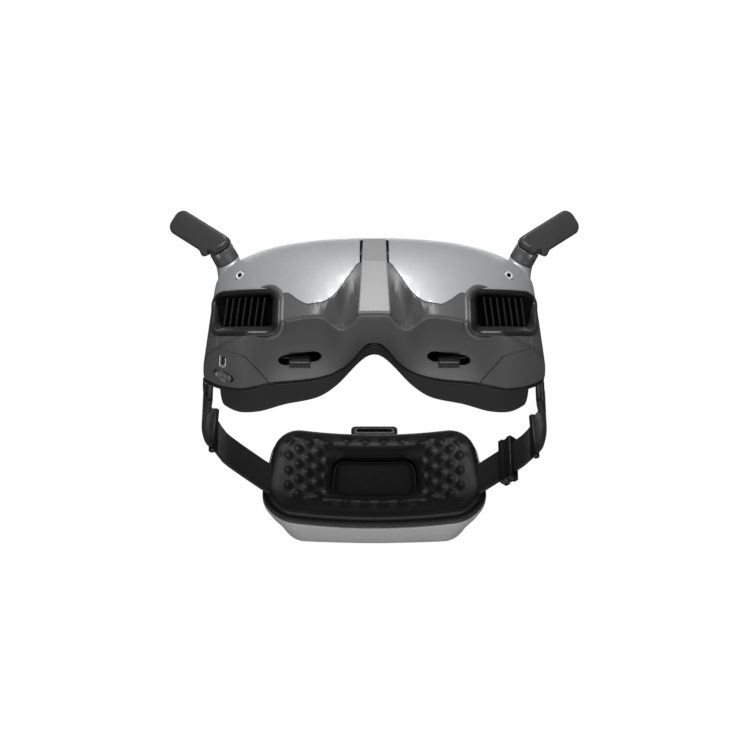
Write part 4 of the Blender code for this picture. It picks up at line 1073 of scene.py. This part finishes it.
def inflate(obj, pinned):
    """Let cloth swell under pressure, hold the pinned points, and limit how far any point may go."""
    rest = [v.co.copy() for v in obj.data.vertices]
    group = obj.vertex_groups.new(name="pin")
    group.add([i for i, p in enumerate(rest) if pinned(p)], 1.0, "ADD")
    cloth = obj.modifiers.new("Swell", "CLOTH")
    cloth.settings.use_pressure = True
    cloth.settings.uniform_pressure_force = CLOTH_PRESSURE
    cloth.settings.vertex_group_mass = "pin"
    cloth.settings.tension_stiffness = 25
    cloth.settings.compression_stiffness = 25
    cloth.settings.bending_stiffness = 4
    cloth.settings.effector_weights.gravity = 0
    cloth.point_cache.frame_start = 1
    cloth.point_cache.frame_end = CLOTH_FRAMES
    for step in range(1, CLOTH_FRAMES + 1):
        bpy.context.scene.frame_set(step)
    graph = bpy.context.evaluated_depsgraph_get()
    swollen = [v.co.copy() for v in obj.evaluated_get(graph).data.vertices]
    obj.modifiers.clear()
    bpy.context.scene.frame_set(1)
    cap = CLOTH_CAP * MM
    for vert, start, end in zip(obj.data.vertices, rest, swollen):
        move = end - start
        if move.length > cap:
            move *= cap / move.length
        vert.co = start + move


def face_pad():
    """Foam cushion in cloth: swollen a little by simulation, creased along its welt."""
    start = FRAME_LIFT + 3.0 + GAP
    obj = mesh_object("face_cushion", loops_mesh(pad_loops(start), closed=True), angle=80)
    pin_line = (EYE_POINT.y + rim_top_y(0.6) + 5.5) * MM
    inflate(obj, lambda p: p.y < pin_line)
    obj.modifiers.new("Subdivision", "SUBSURF").levels = 1
    bake(obj, 80)
    dress(obj, "foam", "cushion", ["face_pad"])
    welt = []
    for inset, lift in ((6.35, 0.6), (6.0, 0.9), (6.05, 1.3), (6.4, 1.5), (6.9, 1.3), (6.9, 0.8)):
        welt.append(rim_loop(inset, start + lift))
    piece("cushion_welt", loops_mesh(welt, closed=True), "foam", "cushion", angle=80)


# ---------------------------------------------------------------- knobs, socket and five-way button
def spacing_knob(side, sign):
    """Sliding thumb pad on its stem: smooth ledge in front, diamond knurl behind."""
    low, high = node_box(side + "_spacing_knob")
    x = sign * KNOB_X
    top = low.z + 3.4
    sections = []
    for y, half, drop in ((-3.3, 4.6, 1.3), (-3.0, 5.1, 0.75), (-2.3, 5.2, 0.45), (-1.5, 5.2, 0.35),
                          (-1.2, 5.2, 0.75), (-0.9, 5.2, 0.45), (2.3, 5.2, 0.45), (3.0, 5.0, 0.8),
                          (3.3, 4.6, 1.3)):
        outline = rounded_rect(half, (top - low.z - drop) / 2, 0.9, 4)
        centre = (top + low.z + drop) / 2
        sections.append(upright([(x + a, centre + b) for a, b in outline], KNOB_Y + y))
    foot = [(x + a, KNOB_Y + b) for a, b in rounded_rect(*THUMB_STEM_HALF, 0.5)]
    stem = prism(foot, top - 0.4, high.z)
    ribs = knurl(x, KNOB_Y + 0.9, low.z + 0.45)
    piece(side + "_thumb_pad", join_meshes(loops_mesh(sections), stem, *ribs), "knurl_black",
          side + "_eye", [side + "_spacing_knob"])


def knurl(x, y, z):
    """Raised crossing ribs of a diamond knurl."""
    ribs = []
    for i in range(9):
        a = (i - 4) * 1.1
        for lean in (-0.55, 0.55):
            ribs.append(rod((x + a - lean, y - 1.6, z), (x + a + lean, y + 1.6, z), 0.3, sides=8))
    return ribs


def knob_track(side, sign):
    """Rounded near-black liner of the slot, whose darkness paints the shade inside it."""
    rings = []
    for grow, lift in ((-0.1, 8.0), (-0.12, 0.0), (-0.3, -0.35), (-0.45, -0.3), (-0.6, -0.1), (-0.6, 8.0)):
        rings.append([Vector((a, b, under_height(a, b) + lift)) for a, b in track_points(sign, grow)])
    # Near-black liner: painted shade in the slot.
    piece(side + "_knob_track", loops_mesh(rings, closed=True), "slot_dark", "housing",
          angle=60)


def under_height(x, y):
    """Height of the housing's underside at a plan position."""
    u = x / side_half_width(-30)
    low, high = 0.0, 1.0
    for _ in range(24):
        middle = (low + high) / 2
        if under_point(u, middle).y < y:
            low = middle
        else:
            high = middle
    return under_point(u, low).z


def usb_socket():
    """Charging socket: bright rolled rim, a near-black floor that paints the shade in its mouth, and its
    tongue.
    """
    place = usb_place()
    rings = []
    for grow, depth in ((0.0, -5.0), (0.0, 1.2), (-0.1, 1.45), (-0.28, 1.6), (-0.45, 1.5), (-0.55, 1.2),
                        (-0.6, -3.0)):
        rings.append([place @ Vector((a, b, depth)) for a, b in usb_outline(grow)])
    piece("socket_shell", loops_mesh(rings), "screw_pale", "housing", ["usb_c_socket"])
    # Near-black floor in the mouth: painted shade.
    piece("socket_floor", usb_prism(-0.65, -2.9, -2.2), "slot_dark", "housing")
    tongue = prism(rounded_rect(3.0, 0.4, 0.3), -2.0, 0.6, place)
    piece("socket_tongue", tongue, "black_plastic", "housing")


def stick_ring(place, grow, depth):
    """Oval loop round the five-way button."""
    outline = ellipse(STICK_HALF_LONG + grow, STICK_HALF_WIDE + grow, 56)
    return [place @ Vector((a, b, depth)) for a, b in outline]


def five_way_button():
    """Oval thumb button: rounded rim round a finely studded dished face, in a black bezel."""
    place = stick_place()
    profile = [(-0.2, -0.4), (0.0, 0.9), (-0.15, 1.3), (-0.5, 1.5), (-0.85, 1.35), (-1.1, 1.05), (-2.6, 0.9)]
    parts = [loops_mesh([stick_ring(place, grow, depth) for grow, depth in profile])]
    for i in range(-4, 5):
        for j in range(-3, 4):
            a, b = i * 0.85 + (j % 2) * 0.42, j * 0.8
            if (a / (STICK_HALF_LONG - 1.3)) ** 2 + (b / (STICK_HALF_WIDE - 1.3)) ** 2 > 1:
                continue
            base = place @ Matrix.Translation((a, b, 0.85))
            parts.append(loops_mesh(turned([(0.33, -0.1), (0.26, 0.12), (0.08, 0.25)], base, 8)))
    piece("thumb_button", join_meshes(*parts), "neck_grey", "stick_cap", ["five_way_button"])
    bezel = [(0.35, -1.6), (0.35, -0.3), (0.5, 0.0), (0.8, 0.05), (1.05, -0.2), (1.1, -0.8), (0.68, -1.6)]
    rim = [stick_ring(place, grow, depth) for grow, depth in bezel]
    piece("thumb_button_rim", loops_mesh(rim, closed=True), "black_plastic", "housing")


# ---------------------------------------------------------------- antennas
def blade_outline(shrink):
    """Rounded rectangle along the blade; its lower edge is deeper near the root."""
    low, high = shrink, PADDLE_LONG - shrink
    middle = (low + high) / 2
    points = []
    corner = PADDLE_CORNER - shrink * 0.6
    for a, b in panel_outline((high - low) / 2, PADDLE_HALF - shrink, corner, 24, 6, 8):
        along_blade = a + middle
        if b < 0:
            heel = 1 - smoothstep((along_blade - HEEL_LONG + HEEL_RAMP) / HEEL_RAMP)
            b -= HEEL_DEEP * heel * clamp01(-b / PADDLE_HALF * 1.5)
        points.append((along_blade, b))
    return points


def blade_mesh(sign):
    """Flat blade with softly rounded edges."""
    pivot, axis = flip(sign, ANTENNA_PIVOT), flip(sign, ANTENNA_AXIS)
    direction = flip(sign, ANTENNA_DIR)
    wide = flip(sign, ANTENNA_FACE).cross(direction).normalized()
    if wide.z < 0:
        wide = -wide
    thick = direction.cross(wide)
    start = pivot + axis * PADDLE_LIFT - direction * PADDLE_BACK
    layers = [(-2.0, 1.3), (-1.85, 0.7), (-1.4, 0.25), (-0.7, 0.0), (0.7, 0.0), (1.4, 0.25), (1.85, 0.7),
              (2.0, 1.3)]
    return loops_mesh([[start + direction * a + wide * b + thick * depth for a, b in blade_outline(shrink)]
                       for depth, shrink in layers])


def antenna(side, sign):
    """Blade on its round knuckle, and the fixed ferrule below it."""
    axis = flip(sign, ANTENNA_AXIS)
    pivot = flip(sign, ANTENNA_PIVOT)
    obj = mesh_object(side + "_paddle", blade_mesh(sign))
    place = Matrix.Translation(pivot) @ along(axis)
    knuckle = [(NECK_R - 0.9, 0.35), (NECK_R - 0.2, 0.5), (NECK_R, 0.9), (NECK_R, 2.6), (NECK_R - 0.3, 3.2),
               (NECK_R - 1.0, 3.6)]
    boolean(obj, loops_mesh(turned(knuckle, place, 56)), "UNION")
    boolean(obj, rod(pivot - axis * 14, pivot + axis * 0.3, PADDLE_CLEARANCE))
    dress(obj, "antenna_grey", side + "_antenna_arm", [side + "_antenna"])
    seat = neck_seat(sign)
    long = (pivot - seat).dot(axis)
    profile = [(5.2, 0.25), (6.0, 0.25), (6.2, 0.5), (6.2, long - 0.8), (6.0, long - 0.4), (5.2, long - 0.3)]
    neck = loops_mesh(turned(profile, Matrix.Translation(seat) @ along(axis), 56))
    piece(side + "_ferrule", neck, "neck_grey", "housing", [side + "_antenna_neck"])


# ---------------------------------------------------------------- headband
def ribbon(path, edges, thick):
    """Upright woven band along a smooth plan path, with rounded edges and UVs in millimetres."""
    points = curve_points([(x, y, 0) for x, y in path], 10)
    lows = curve_points([(e[0], 0, 0) for e in edges], 10)
    highs = curve_points([(e[1], 0, 0) for e in edges], 10)
    section = [(0.5, 0.02), (0.5, 0.25), (0.5, 0.5), (0.5, 0.75), (0.5, 0.98), (0.25, 1.0), (-0.25, 1.0),
               (-0.5, 0.98), (-0.5, 0.75), (-0.5, 0.5), (-0.5, 0.25), (-0.5, 0.02), (-0.25, 0.0), (0.25, 0.0)]
    bm = bmesh.new()
    layer = bm.loops.layers.uv.new("UVMap")
    rings, runs = [], [0.0]
    for i, p in enumerate(points):
        run = (points[min(i + 1, len(points) - 1)] - points[max(i - 1, 0)]).normalized()
        out = Vector((run.y, -run.x, 0))
        low, high = lows[i].x, highs[i].x
        if i:
            runs.append(runs[-1] + (p - points[i - 1]).length)
        rings.append([bm.verts.new(p + out * (a * thick) + Vector((0, 0, lerp(low, high, b))))
                      for a, b in section])
    count = len(section)
    for k in range(len(rings) - 1):
        for i in range(count):
            j = (i + 1) % count
            face = bm.faces.new((rings[k][i], rings[k][j], rings[k + 1][j], rings[k + 1][i]))
            for loop, (kk, m) in zip(face.loops, ((k, i), (k, j), (k + 1, j), (k + 1, i))):
                loop[layer].uv = (runs[kk], section[m][1] * STRAP_WIDE)
    bm.faces.new(rings[0])
    bm.faces.new(rings[-1])
    return bm


def stitches(spot, run, low, high, out_side):
    """Row of thread stitches across the strap at a plan position."""
    x, y = spot
    across = Vector((run[1], -run[0], 0)).normalized() * out_side
    parts = []
    for k in range(STITCHES):
        z = lerp(low + 1.2, high - 1.2, (k + 0.2) / STITCHES)
        z1 = z + (high - low - 2.4) / STITCHES * 0.6
        centre = Vector((x, y, 0)) + across * 1.12
        parts.append(rod(centre + Vector((0, 0, z)), centre + Vector((0, 0, z1)), 0.22, sides=8))
    return join_meshes(*parts)


def front_path(side):
    """Front strap's path, stretched back by the length let out on that side."""
    start = FRONT_STRAP_PATH[0][1]
    stretch = 1 + LET_OUT[side] / (FRONT_STRAP_PATH[-1][1] - start)
    return [(x, start + (y - start) * stretch) for x, y in FRONT_STRAP_PATH]


def rear_path(side):
    """Rear strap's path from the joining bar to the pack, which stays where it is."""
    last = len(REAR_STRAP_PATH) - 1
    return [(x, y + LET_OUT[side] * (1 - i / last)) for i, (x, y) in enumerate(REAR_STRAP_PATH)]


def mirrored(path, sign):
    return [(sign * x, y) for x, y in path]


def anchor_arm(side, sign):
    """Stiff arm from the pivot to the strap, with a keeper round its end."""
    arm = mesh_object(side + "_anchor_arm", ribbon(mirrored(ANCHOR_PATH, sign), ANCHOR_EDGES, 2.4), angle=50)
    bore = rod((sign * 70, BAND_PIVOT.y, BAND_PIVOT.z), (sign * 95, BAND_PIVOT.y, BAND_PIVOT.z), 2.3)
    boolean(arm, bore)
    dress(arm, "black_plastic", "headband", [side + "_strap_anchor"])
    keeper = ribbon(mirrored([(83.1, 36.0), (83.8, 41.0), (84.9, 46.0)], sign),
                    [(-16.3, 1.2), (-16.6, 1.6), (-17.0, 2.2)], 3.6)
    piece(side + "_strap_keeper", keeper, "black_plastic", "headband", angle=50)


def cable_lug():
    """Six-sided boss on the wearer's right arm."""
    lug = rod((-83.0, 33.0, -8.5), (-86.2, 33.0, -8.5), 4.2, sides=6, edge=0.5)
    piece("cable_lug", lug, "black_plastic", "headband")


def band_side(side, sign):
    """Arm, front webbing, leaning joining bar, stitched rear webbing of one side."""
    anchor_arm(side, sign)
    strap = ribbon(mirrored(front_path(side), sign), FRONT_STRAP_EDGES, 2.0)
    piece(side + "_front_webbing", strap, "webbing", "headband", [side + "_front_strap"], angle=50)
    low, high = node_box(side + "_strap_bar")
    middle = (low + high) / 2
    lean = Vector((-sign * 0.6, 0, 0))
    foot, head = Vector((middle.x, middle.y, low.z)), Vector((middle.x, middle.y, high.z))
    bar = rod(foot - lean, head + lean, 1.8, edge=0.6)
    piece(side + "_joining_bar", bar, "black_plastic", "headband", [side + "_strap_bar"])
    path = rear_path(side)
    back = ribbon(mirrored(path + [REAR_STRAP_IN_PAD], sign), REAR_STRAP_EDGES + [REAR_STRAP_END_EDGES], 2.0)
    piece(side + "_rear_webbing", back, "webbing", "headband", [side + "_rear_strap"], angle=50)
    (x0, y0), (x1, y1) = path[0], path[1]
    share = 0.65
    spot = (sign * lerp(x0, x1, share), lerp(y0, y1, share))
    thread = stitches(spot, (sign * (x1 - x0), y1 - y0), -17.5, 1.3, sign)
    piece(side + "_stitching", thread, "webbing", "headband")


def buckle():
    """Ladder-lock buckle: waisted frame with two small feet across each end."""
    low, high = node_box("strap_buckle")
    centre = (low + high) / 2
    start, end = (Vector(p) for p in rear_path("left")[-2:])
    run = Vector((*(end - start).normalized(), 0))
    across = Vector((-run.y, run.x, 0))

    def ring(a, b, depth):
        return centre + across * a + Vector((0, 0, b)) + run * depth
    loops = []
    for grow, depth in ((-0.5, -4.4), (0.0, -3.9), (0.0, -1.7), (-0.45, -1.2), (-0.45, 1.2), (0.0, 1.7),
                        (0.0, 3.9), (-0.5, 4.4)):
        loops.append([ring(a, b, depth) for a, b in rounded_rect(3.0 + grow, 13.2 + grow, 1.2, 4)])
    for depth in (4.4, -4.4):
        loops.append([ring(a, b, depth) for a, b in rounded_rect(1.5, 10.4, 0.5, 4)])
    piece("buckle_frame", loops_mesh(loops, closed=True), "black_plastic", "buckle", ["strap_buckle"],
          angle=50)
    feet = []
    for depth in (-2.8, 2.8):
        for b in (-12.6, 12.6):
            feet.append(rod(ring(-1.8, b, depth), ring(1.8, b, depth), 1.1, sides=20, edge=0.3))
    piece("buckle_feet", join_meshes(*feet), "black_plastic", "buckle")


# ---------------------------------------------------------------- rear battery pack
def taper(z):
    """The pack grows narrower towards its top."""
    return 1 - PACK_TAPER * smoothstep((z - PACK_BOTTOM) / (PAD_TOP - PACK_BOTTOM)) ** PACK_TAPER_POWER


def bent(x, y, z, curve=1.0):
    """Point of the pack, moved forward towards its ends to follow the head."""
    return Vector((x, y - PACK_CURVE * curve * (x / PACK_HALF) ** 2, z))


def pack_outline(inset, y, curve=1.0, top=PAD_TOP, dense=1):
    """Loop round the pack at an inset from its outline."""
    half = PACK_HALF - inset
    high = (top - PACK_BOTTOM) / 2 - inset
    middle = (top + PACK_BOTTOM) / 2
    radius = PACK_CORNER - min(inset, 12.0)
    outline = panel_outline(half, high, radius, 40 * dense, 12 * dense, 10 * dense)
    return [bent(a * taper(b + middle), y, b + middle, curve) for a, b in outline]


def window_loop(grow, y, dense=1):
    """Loop round the opening in the pad, a little narrower at its top."""
    outline = panel_outline(WINDOW_HALF_WIDE + grow, WINDOW_HALF_HIGH + grow, WINDOW_RADIUS + grow,
                            40 * dense, 12 * dense, 10 * dense)
    return [bent(a * (1 - WINDOW_NARROWING * b / WINDOW_HALF_HIGH), y, b + WINDOW_Z) for a, b in outline]


def bump(distance, radius):
    return 1 - smoothstep(distance / radius)


def window_distance(x, z):
    """How far a point of the pad stands outside the window's outline."""
    aside = abs(x) - WINDOW_HALF_WIDE + WINDOW_RADIUS
    above = abs(z - WINDOW_Z) - WINDOW_HALF_HIGH + WINDOW_RADIUS
    return math.hypot(max(aside, 0), max(above, 0)) + min(max(aside, above), 0) - WINDOW_RADIUS


def knob_height(x, z):
    """Raised knobs: staggered columns either side of the window, single rows above and below it."""
    x = abs(x)
    best = 0.0
    for column in range(5):
        centre = 25.0 + 5.2 * column
        shift = 4.7 * (column % 2)
        row = round((z - 2.6 - shift) / 9.4)
        away = math.hypot(x - centre, (z - 2.6 - shift - 9.4 * row) * 0.95)
        best = max(best, bump(away, 3.6))
    row_x = 5.0 + 10.0 * round((x - 5.0) / 10.0)
    rows = bump(math.hypot(x - row_x, z - 15.8 - 0.05 * (x / 10) ** 2), 3.4)
    rows = max(rows, bump(math.hypot(x - row_x, z + 24.6 - 0.35 * (x / 10) ** 2), 3.4))
    inside = smoothstep((24.0 - x) / 3)
    best = max(best * (1 - inside), rows * inside)
    edge = smoothstep((49.5 - x) / 3) * smoothstep((18.6 - z) / 2.5) * smoothstep((z + 27.0) / 3)
    corner = smoothstep((66.0 - x - abs(z + 2) * 0.9) / 4)
    return best * edge * corner * smoothstep((window_distance(x, z) - 1.0) / 2.5)


def pad_face(loops, back):
    """Swollen, knobbed face between the pad's rolled edge and its window."""
    outer = pack_outline(9.0, back - 7.4, dense=2)
    inner = window_loop(2.6, back - 5.6, dense=2)
    steps = 30
    for k in range(1, steps):
        t = k / steps
        loop = []
        for a, b in zip(outer, inner):
            p = a.lerp(b, t)
            p.y -= 0.9 * math.sin(math.pi * t) + 1.0 * knob_height(p.x, p.z)
            loop.append(p)
        loops.append(loop)


def rear_pad():
    """Moulded pad: rolled edge, swollen knobbed face, stepped opening in the middle."""
    back = PAD_BACK_Y
    edge = [(3.5, 0.0), (2.5, -0.9), (1.9, -2.4), (2.2, -4.0), (3.2, -5.3), (5.4, -6.6), (9.0, -7.4)]
    loops = [pack_outline(inset, back + dy, dense=2) for inset, dy in edge]
    pad_face(loops, back)
    for grow, dy in ((2.6, -5.6), (1.9, -5.5), (1.4, -4.9), (1.1, -4.4), (0.5, -4.3), (0.3, -3.8),
                     (0.3, 0.0)):
        loops.append(window_loop(grow, back + dy, dense=2))
    piece("head_pad", loops_mesh(loops, closed=True), "pad_rubber", "headband", ["rear_pad"], angle=80)


def pad_window_panel():
    """Smooth dished panel at the bottom of the pad's opening."""
    back = PAD_BACK_Y
    panel = [window_loop(grow, back + dy) for grow, dy in
             ((0.0, 0.0), (0.0, -1.0), (-0.4, -1.5), (-1.6, -1.6), (-1.9, -1.3), (-2.2, -1.1), (-5.0, -1.05))]
    ring = window_loop(-6.0, back - 1.05)
    centre = bent(0.0, back - 1.05, WINDOW_Z)
    for share in (1.0, 0.75, 0.5, 0.25, 0.02):
        loop = [centre.lerp(p, share) for p in ring]
        panel.append([bent(p.x, back - 1.05, p.z) for p in loop])
    piece("pad_window_panel", loops_mesh(panel), "slot_dark", "headband", ["pad_window"])


def pack_frame():
    """Grooved rim between the pad and the shell."""
    y = PAD_BACK_Y + 0.4
    profile = [(1.4, 0.0), (0.7, 0.3), (0.5, 0.8), (0.9, 1.2), (0.9, 1.5), (0.5, 1.8), (0.7, 2.4), (1.4, 2.6),
               (9.0, 2.6), (9.0, 0.0)]
    rings = [pack_outline(inset, y + dy) for inset, dy in profile]
    piece("pack_rim", loops_mesh(rings, closed=True), "knurl_black", "headband", ["pack_frame"],
          angle=50)


def battery_cover():
    """Smooth shell over the cells with a soft shoulder and a flat back; its power key and level lamps."""
    back = COVER_BACK_Y
    inner = [(13.0, back - 2.2, 0.0), (6.0, back - 4.6, 0.3), (2.2, 140.0, 0.9), (2.0, COVER_FRONT_Y, 1.0)]
    outer = [(0.5, COVER_FRONT_Y, 1.0), (0.1, COVER_FRONT_Y + 0.4, 1.0), (0.0, 134.0, 0.99),
             (0.0, 138.0, 0.95), (0.1, 141.5, 0.88), (0.5, 145.0, 0.74), (1.4, 148.4, 0.54),
             (3.2, 151.2, 0.34), (6.2, 153.4, 0.15), (9.4, 154.6, 0.05), (12.5, back, 0.0)]
    loops = []
    for inset, y, curve in inner + outer:
        squeeze = 1 - COVER_SQUEEZE * smoothstep((y - SQUEEZE_START_Y) / SQUEEZE_RUN)
        outline = pack_outline(inset, y, curve, COVER_TOP)
        loops.append([Vector((p.x * squeeze, p.y, p.z)) for p in outline])
    obj = mesh_object("battery_shell", loops_mesh(loops))
    low, high = node_box("power_button")
    middle = (low + high) / 2
    radius = (high.x - low.x) / 2
    boolean(obj, rod((middle.x, back - 11, middle.z), (middle.x, back + 9, middle.z), radius + 0.3))
    dress(obj, "pack_grey", "headband", ["battery_cover"])
    place = Matrix.Translation((middle.x, low.y, middle.z)) @ along((0, 1, 0))
    tall = high.y - low.y
    profile = [(radius - 0.3, 0.0), (radius, 0.2), (radius, tall - 0.5), (radius - 0.2, tall - 0.15),
               (radius - 0.5, tall), (radius - 1.6, tall), (radius - 1.8, tall - 0.25),
               (radius - 2.1, tall - 0.25), (radius - 2.3, tall), (0.8, tall - 0.25)]
    piece("power_key", loops_mesh(turned(profile, place)), "black_plastic", "power", ["power_button"])
    for i in range(4):
        x = middle.x - 12.0 - 4.0 * i
        lamp = rod((x, back - 0.5, middle.z), (x, back + 0.02, middle.z), 0.7, sides=20, edge=0.15)
        piece("level_lamp_%d" % (i + 1), lamp, "neck_grey", "headband")


def strap_loop():
    """Flat loop for a top strap, above the pack."""
    low, high = node_box("top_strap_loop")
    centre = (low + high) / 2
    outer = [(12.6 + grow, 2.9 + grow, 2.4, dy) for grow, dy in
             ((-0.4, -1.75), (0.0, -1.3), (0.0, 1.3), (-0.4, 1.75))]
    rings = []
    for wide, tall, radius, dy in outer + [(9.6, 1.0, 0.9, 1.75), (9.6, 1.0, 0.9, -1.75)]:
        outline = [(a, centre.z + b) for a, b in rounded_rect(wide, tall, radius)]
        rings.append(upright(outline, centre.y + dy))
    piece("top_loop", loops_mesh(rings, closed=True), "black_plastic", "headband", ["top_strap_loop"],
          angle=50)


# ---------------------------------------------------------------- inner parts and carried-over CAD nodes
def eye_lens(side, sign):
    """Biconvex lens and the stepped barrel round it."""
    x = sign * EYE_X
    place = Matrix.Translation((x, 0, 0)) @ along((0, 1, 0))
    glass = []
    for k in range(9):
        share = math.sin(math.pi / 2 * k / 8)
        glass.append((16.2 * share + 0.2, -8.0 - 2.0 * math.sqrt(max(0, 1 - share**2)) + 1.8))
    for k in range(8, -1, -1):
        share = math.sin(math.pi / 2 * k / 8)
        glass.append((16.2 * share + 0.2, -4.6 + 2.4 * math.sqrt(max(0, 1 - share**2))))
    piece(side + "_eye_lens", loops_mesh(turned(glass, place)), "lens_glass", side + "_eye", [side + "_lens"])
    profile = [(18.5, -30.0), (18.5, -3.0), (18.2, -2.0), (17.4, -1.5), (16.9, -1.9), (16.8, -2.8),
               (16.8, -29.0), (17.4, -30.0)]
    piece(side + "_eye_barrel", loops_mesh(turned(profile, place), closed=True), "black_plastic",
          side + "_eye", [side + "_lens_barrel"])


def dress_cad_nodes():
    """Procedural materials for the CAD nodes that stay as they are."""
    looks = {"face_plate": "black_plastic", "proximity_sensor": "display_glass", "main_board": "board_green",
             "heat_sink": "aluminium", "fan_housing": "black_plastic", "fan_rotor": "black_plastic",
             "stick_cradle": "black_plastic", "stick_yoke": "black_plastic", "stick_base": "black_plastic",
             "battery_board": "board_green", "battery_cell_1": "cell_wrap", "battery_cell_2": "cell_wrap",
             "pivot_pin": "steel", "hinge_ear": "black_plastic", "display": "display_glass"}
    for name, node in frame["nodes"].items():
        stem = name.replace("right_", "").replace("left_", "")
        if node.hide_render or stem not in looks and name not in looks:
            continue
        node.data.materials.clear()
        node.data.materials.append(MATERIALS[looks.get(name) or looks[stem]])


# ---------------------------------------------------------------- stage
def floor():
    """Pale floor under the object, seen only from above and casting nothing on it."""
    low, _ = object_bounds()
    bm = bmesh.new()
    bmesh.ops.create_grid(bm, x_segments=2, y_segments=2, size=6000)
    bmesh.ops.translate(bm, vec=(0, 0, low.z / MM - 0.5 - EYE_POINT.z), verts=bm.verts)
    obj = mesh_object("floor", bm)
    if obj.data.polygons[0].normal.z < 0:
        obj.data.flip_normals()
    mat = bpy.data.materials.new("floor")
    mat.use_nodes = True
    tree = mat.node_tree
    nodes = Nodes(tree)
    shader = tree.nodes["Principled BSDF"]
    shader.inputs["Base Color"].default_value = (0.82, 0.82, 0.82, 1)
    shader.inputs["Roughness"].default_value = 0.7
    clear = nodes.add("ShaderNodeBsdfTransparent").outputs[0]
    behind = nodes.add("ShaderNodeNewGeometry").outputs["Backfacing"]
    mix = nodes.add("ShaderNodeMixShader", {0: behind, 1: shader.outputs[0], 2: clear})
    tree.links.new(mix.outputs[0], tree.nodes["Material Output"].inputs["Surface"])
    obj.data.materials.append(mat)
    obj.visible_diffuse = False
    obj.visible_glossy = False
    obj.visible_shadow = False
    obj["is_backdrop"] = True


def world():
    """White backdrop for the camera; a dim glow for the object, stronger from above."""
    scene = bpy.context.scene
    scene.world = bpy.data.worlds.new("studio")
    scene.world.use_nodes = True
    tree = scene.world.node_tree
    nodes = Nodes(tree)
    background = tree.nodes["Background"]
    direction = nodes.add("ShaderNodeNewGeometry").outputs["Incoming"]
    height = nodes.add("ShaderNodeSeparateXYZ", {"Vector": direction}).outputs[2]
    upward = nodes.maths("MULTIPLY", height, -1.0)
    glow = nodes.add("ShaderNodeMapRange", {"Value": upward, "From Min": -0.35, "From Max": 0.9,
                                            "To Min": 0.07, "To Max": 0.14}).outputs[0]
    grey = nodes.add("ShaderNodeCombineColor", {0: glow, 1: glow, 2: glow}).outputs[0]
    tree.links.new(grey, background.inputs["Color"])
    background.inputs["Strength"].default_value = 0.5
    white = nodes.add("ShaderNodeBackground", {"Color": (1, 1, 1, 1), "Strength": 1.0}).outputs[0]
    camera_ray = nodes.add("ShaderNodeLightPath").outputs["Is Camera Ray"]
    mix = nodes.add("ShaderNodeMixShader", {0: camera_ray, 1: background.outputs[0], 2: white})
    tree.links.new(mix.outputs[0], tree.nodes["World Output"].inputs["Surface"])
    scene.view_settings.view_transform = "Standard"
    scene.view_settings.look = "None"


def softbox(name, place, aim, size, power):
    light = bpy.data.lights.new(name, "AREA")
    light.shape = "RECTANGLE"
    light.size, light.size_y = size
    light.energy = power
    obj = bpy.data.objects.new(name, light)
    obj.location = Vector(place) + EYE_POINT * MM
    obj.rotation_mode = "QUATERNION"
    obj.rotation_quaternion = (Vector(aim) - Vector(place)).to_track_quat("-Z", "Y")
    bpy.context.scene.collection.objects.link(obj)


def lights():
    """Soft light from above in front and from below, and a little from behind."""
    softbox("key_above", (0.0, -1.0, 0.55), (0, 0, 0), (0.35, 0.7), 11.0)
    softbox("front_broad", (0.0, -1.25, 0.0), (0, 0, 0), (0.5, 0.4), 4.0)
    softbox("under", (0.0, 0.45, -1.0), (0, 0, 0), (0.8, 0.4), 5.0)
    for name, sign in (("under_left", -1), ("under_right", 1)):
        softbox(name, (sign * 0.8, -0.3, -0.7), (sign * 0.05, 0, 0), (0.3, 0.4), 2.2)
    softbox("back_top", (0.0, 0.6, 0.9), (0, 0.1, 0), (0.9, 0.2), 2.0)


CAMERA_ELEVATION = math.radians(35)
CAMERA_DISTANCE = 1.3
CAMERA_LENS = 123.9
CAMERA_SHIFT = 0.0009
CAMERA_AIM = Vector((0, 0.030, -0.0046))


def camera():
    """Long lens in front of and below the goggles, looking up at them."""
    data = bpy.data.cameras.new("camera")
    data.lens = CAMERA_LENS
    data.sensor_width = 36.0
    data.shift_x = CAMERA_SHIFT
    data.clip_start = 0.05
    data.clip_end = 20
    look = Vector((0, math.cos(CAMERA_ELEVATION), math.sin(CAMERA_ELEVATION)))
    obj = bpy.data.objects.new("camera", data)
    obj.location = CAMERA_AIM + EYE_POINT * MM - look * CAMERA_DISTANCE
    obj.rotation_mode = "QUATERNION"
    obj.rotation_quaternion = look.to_track_quat("-Z", "Y")
    bpy.context.scene.collection.objects.link(obj)
    bpy.context.scene.camera = obj


# ---------------------------------------------------------------- assembly
def build():
    hood()
    lower_shell()
    nose_ridge()
    mid_frame()
    face_pad()
    usb_socket()
    five_way_button()
    for side, sign in SIDES:
        corner_cover(side, sign)
        vent_frame(side, sign)
        vent_slats(side, sign)
        vent_collar(side, sign)
        hood_screw(side, sign)
        spacing_knob(side, sign)
        knob_track(side, sign)
        eye_lens(side, sign)
        antenna(side, sign)
        band_side(side, sign)
    cable_lug()
    buckle()
    rear_pad()
    pad_window_panel()
    pack_frame()
    battery_cover()
    strap_loop()
    dress_cad_nodes()


build()
floor()
world()
lights()
camera()
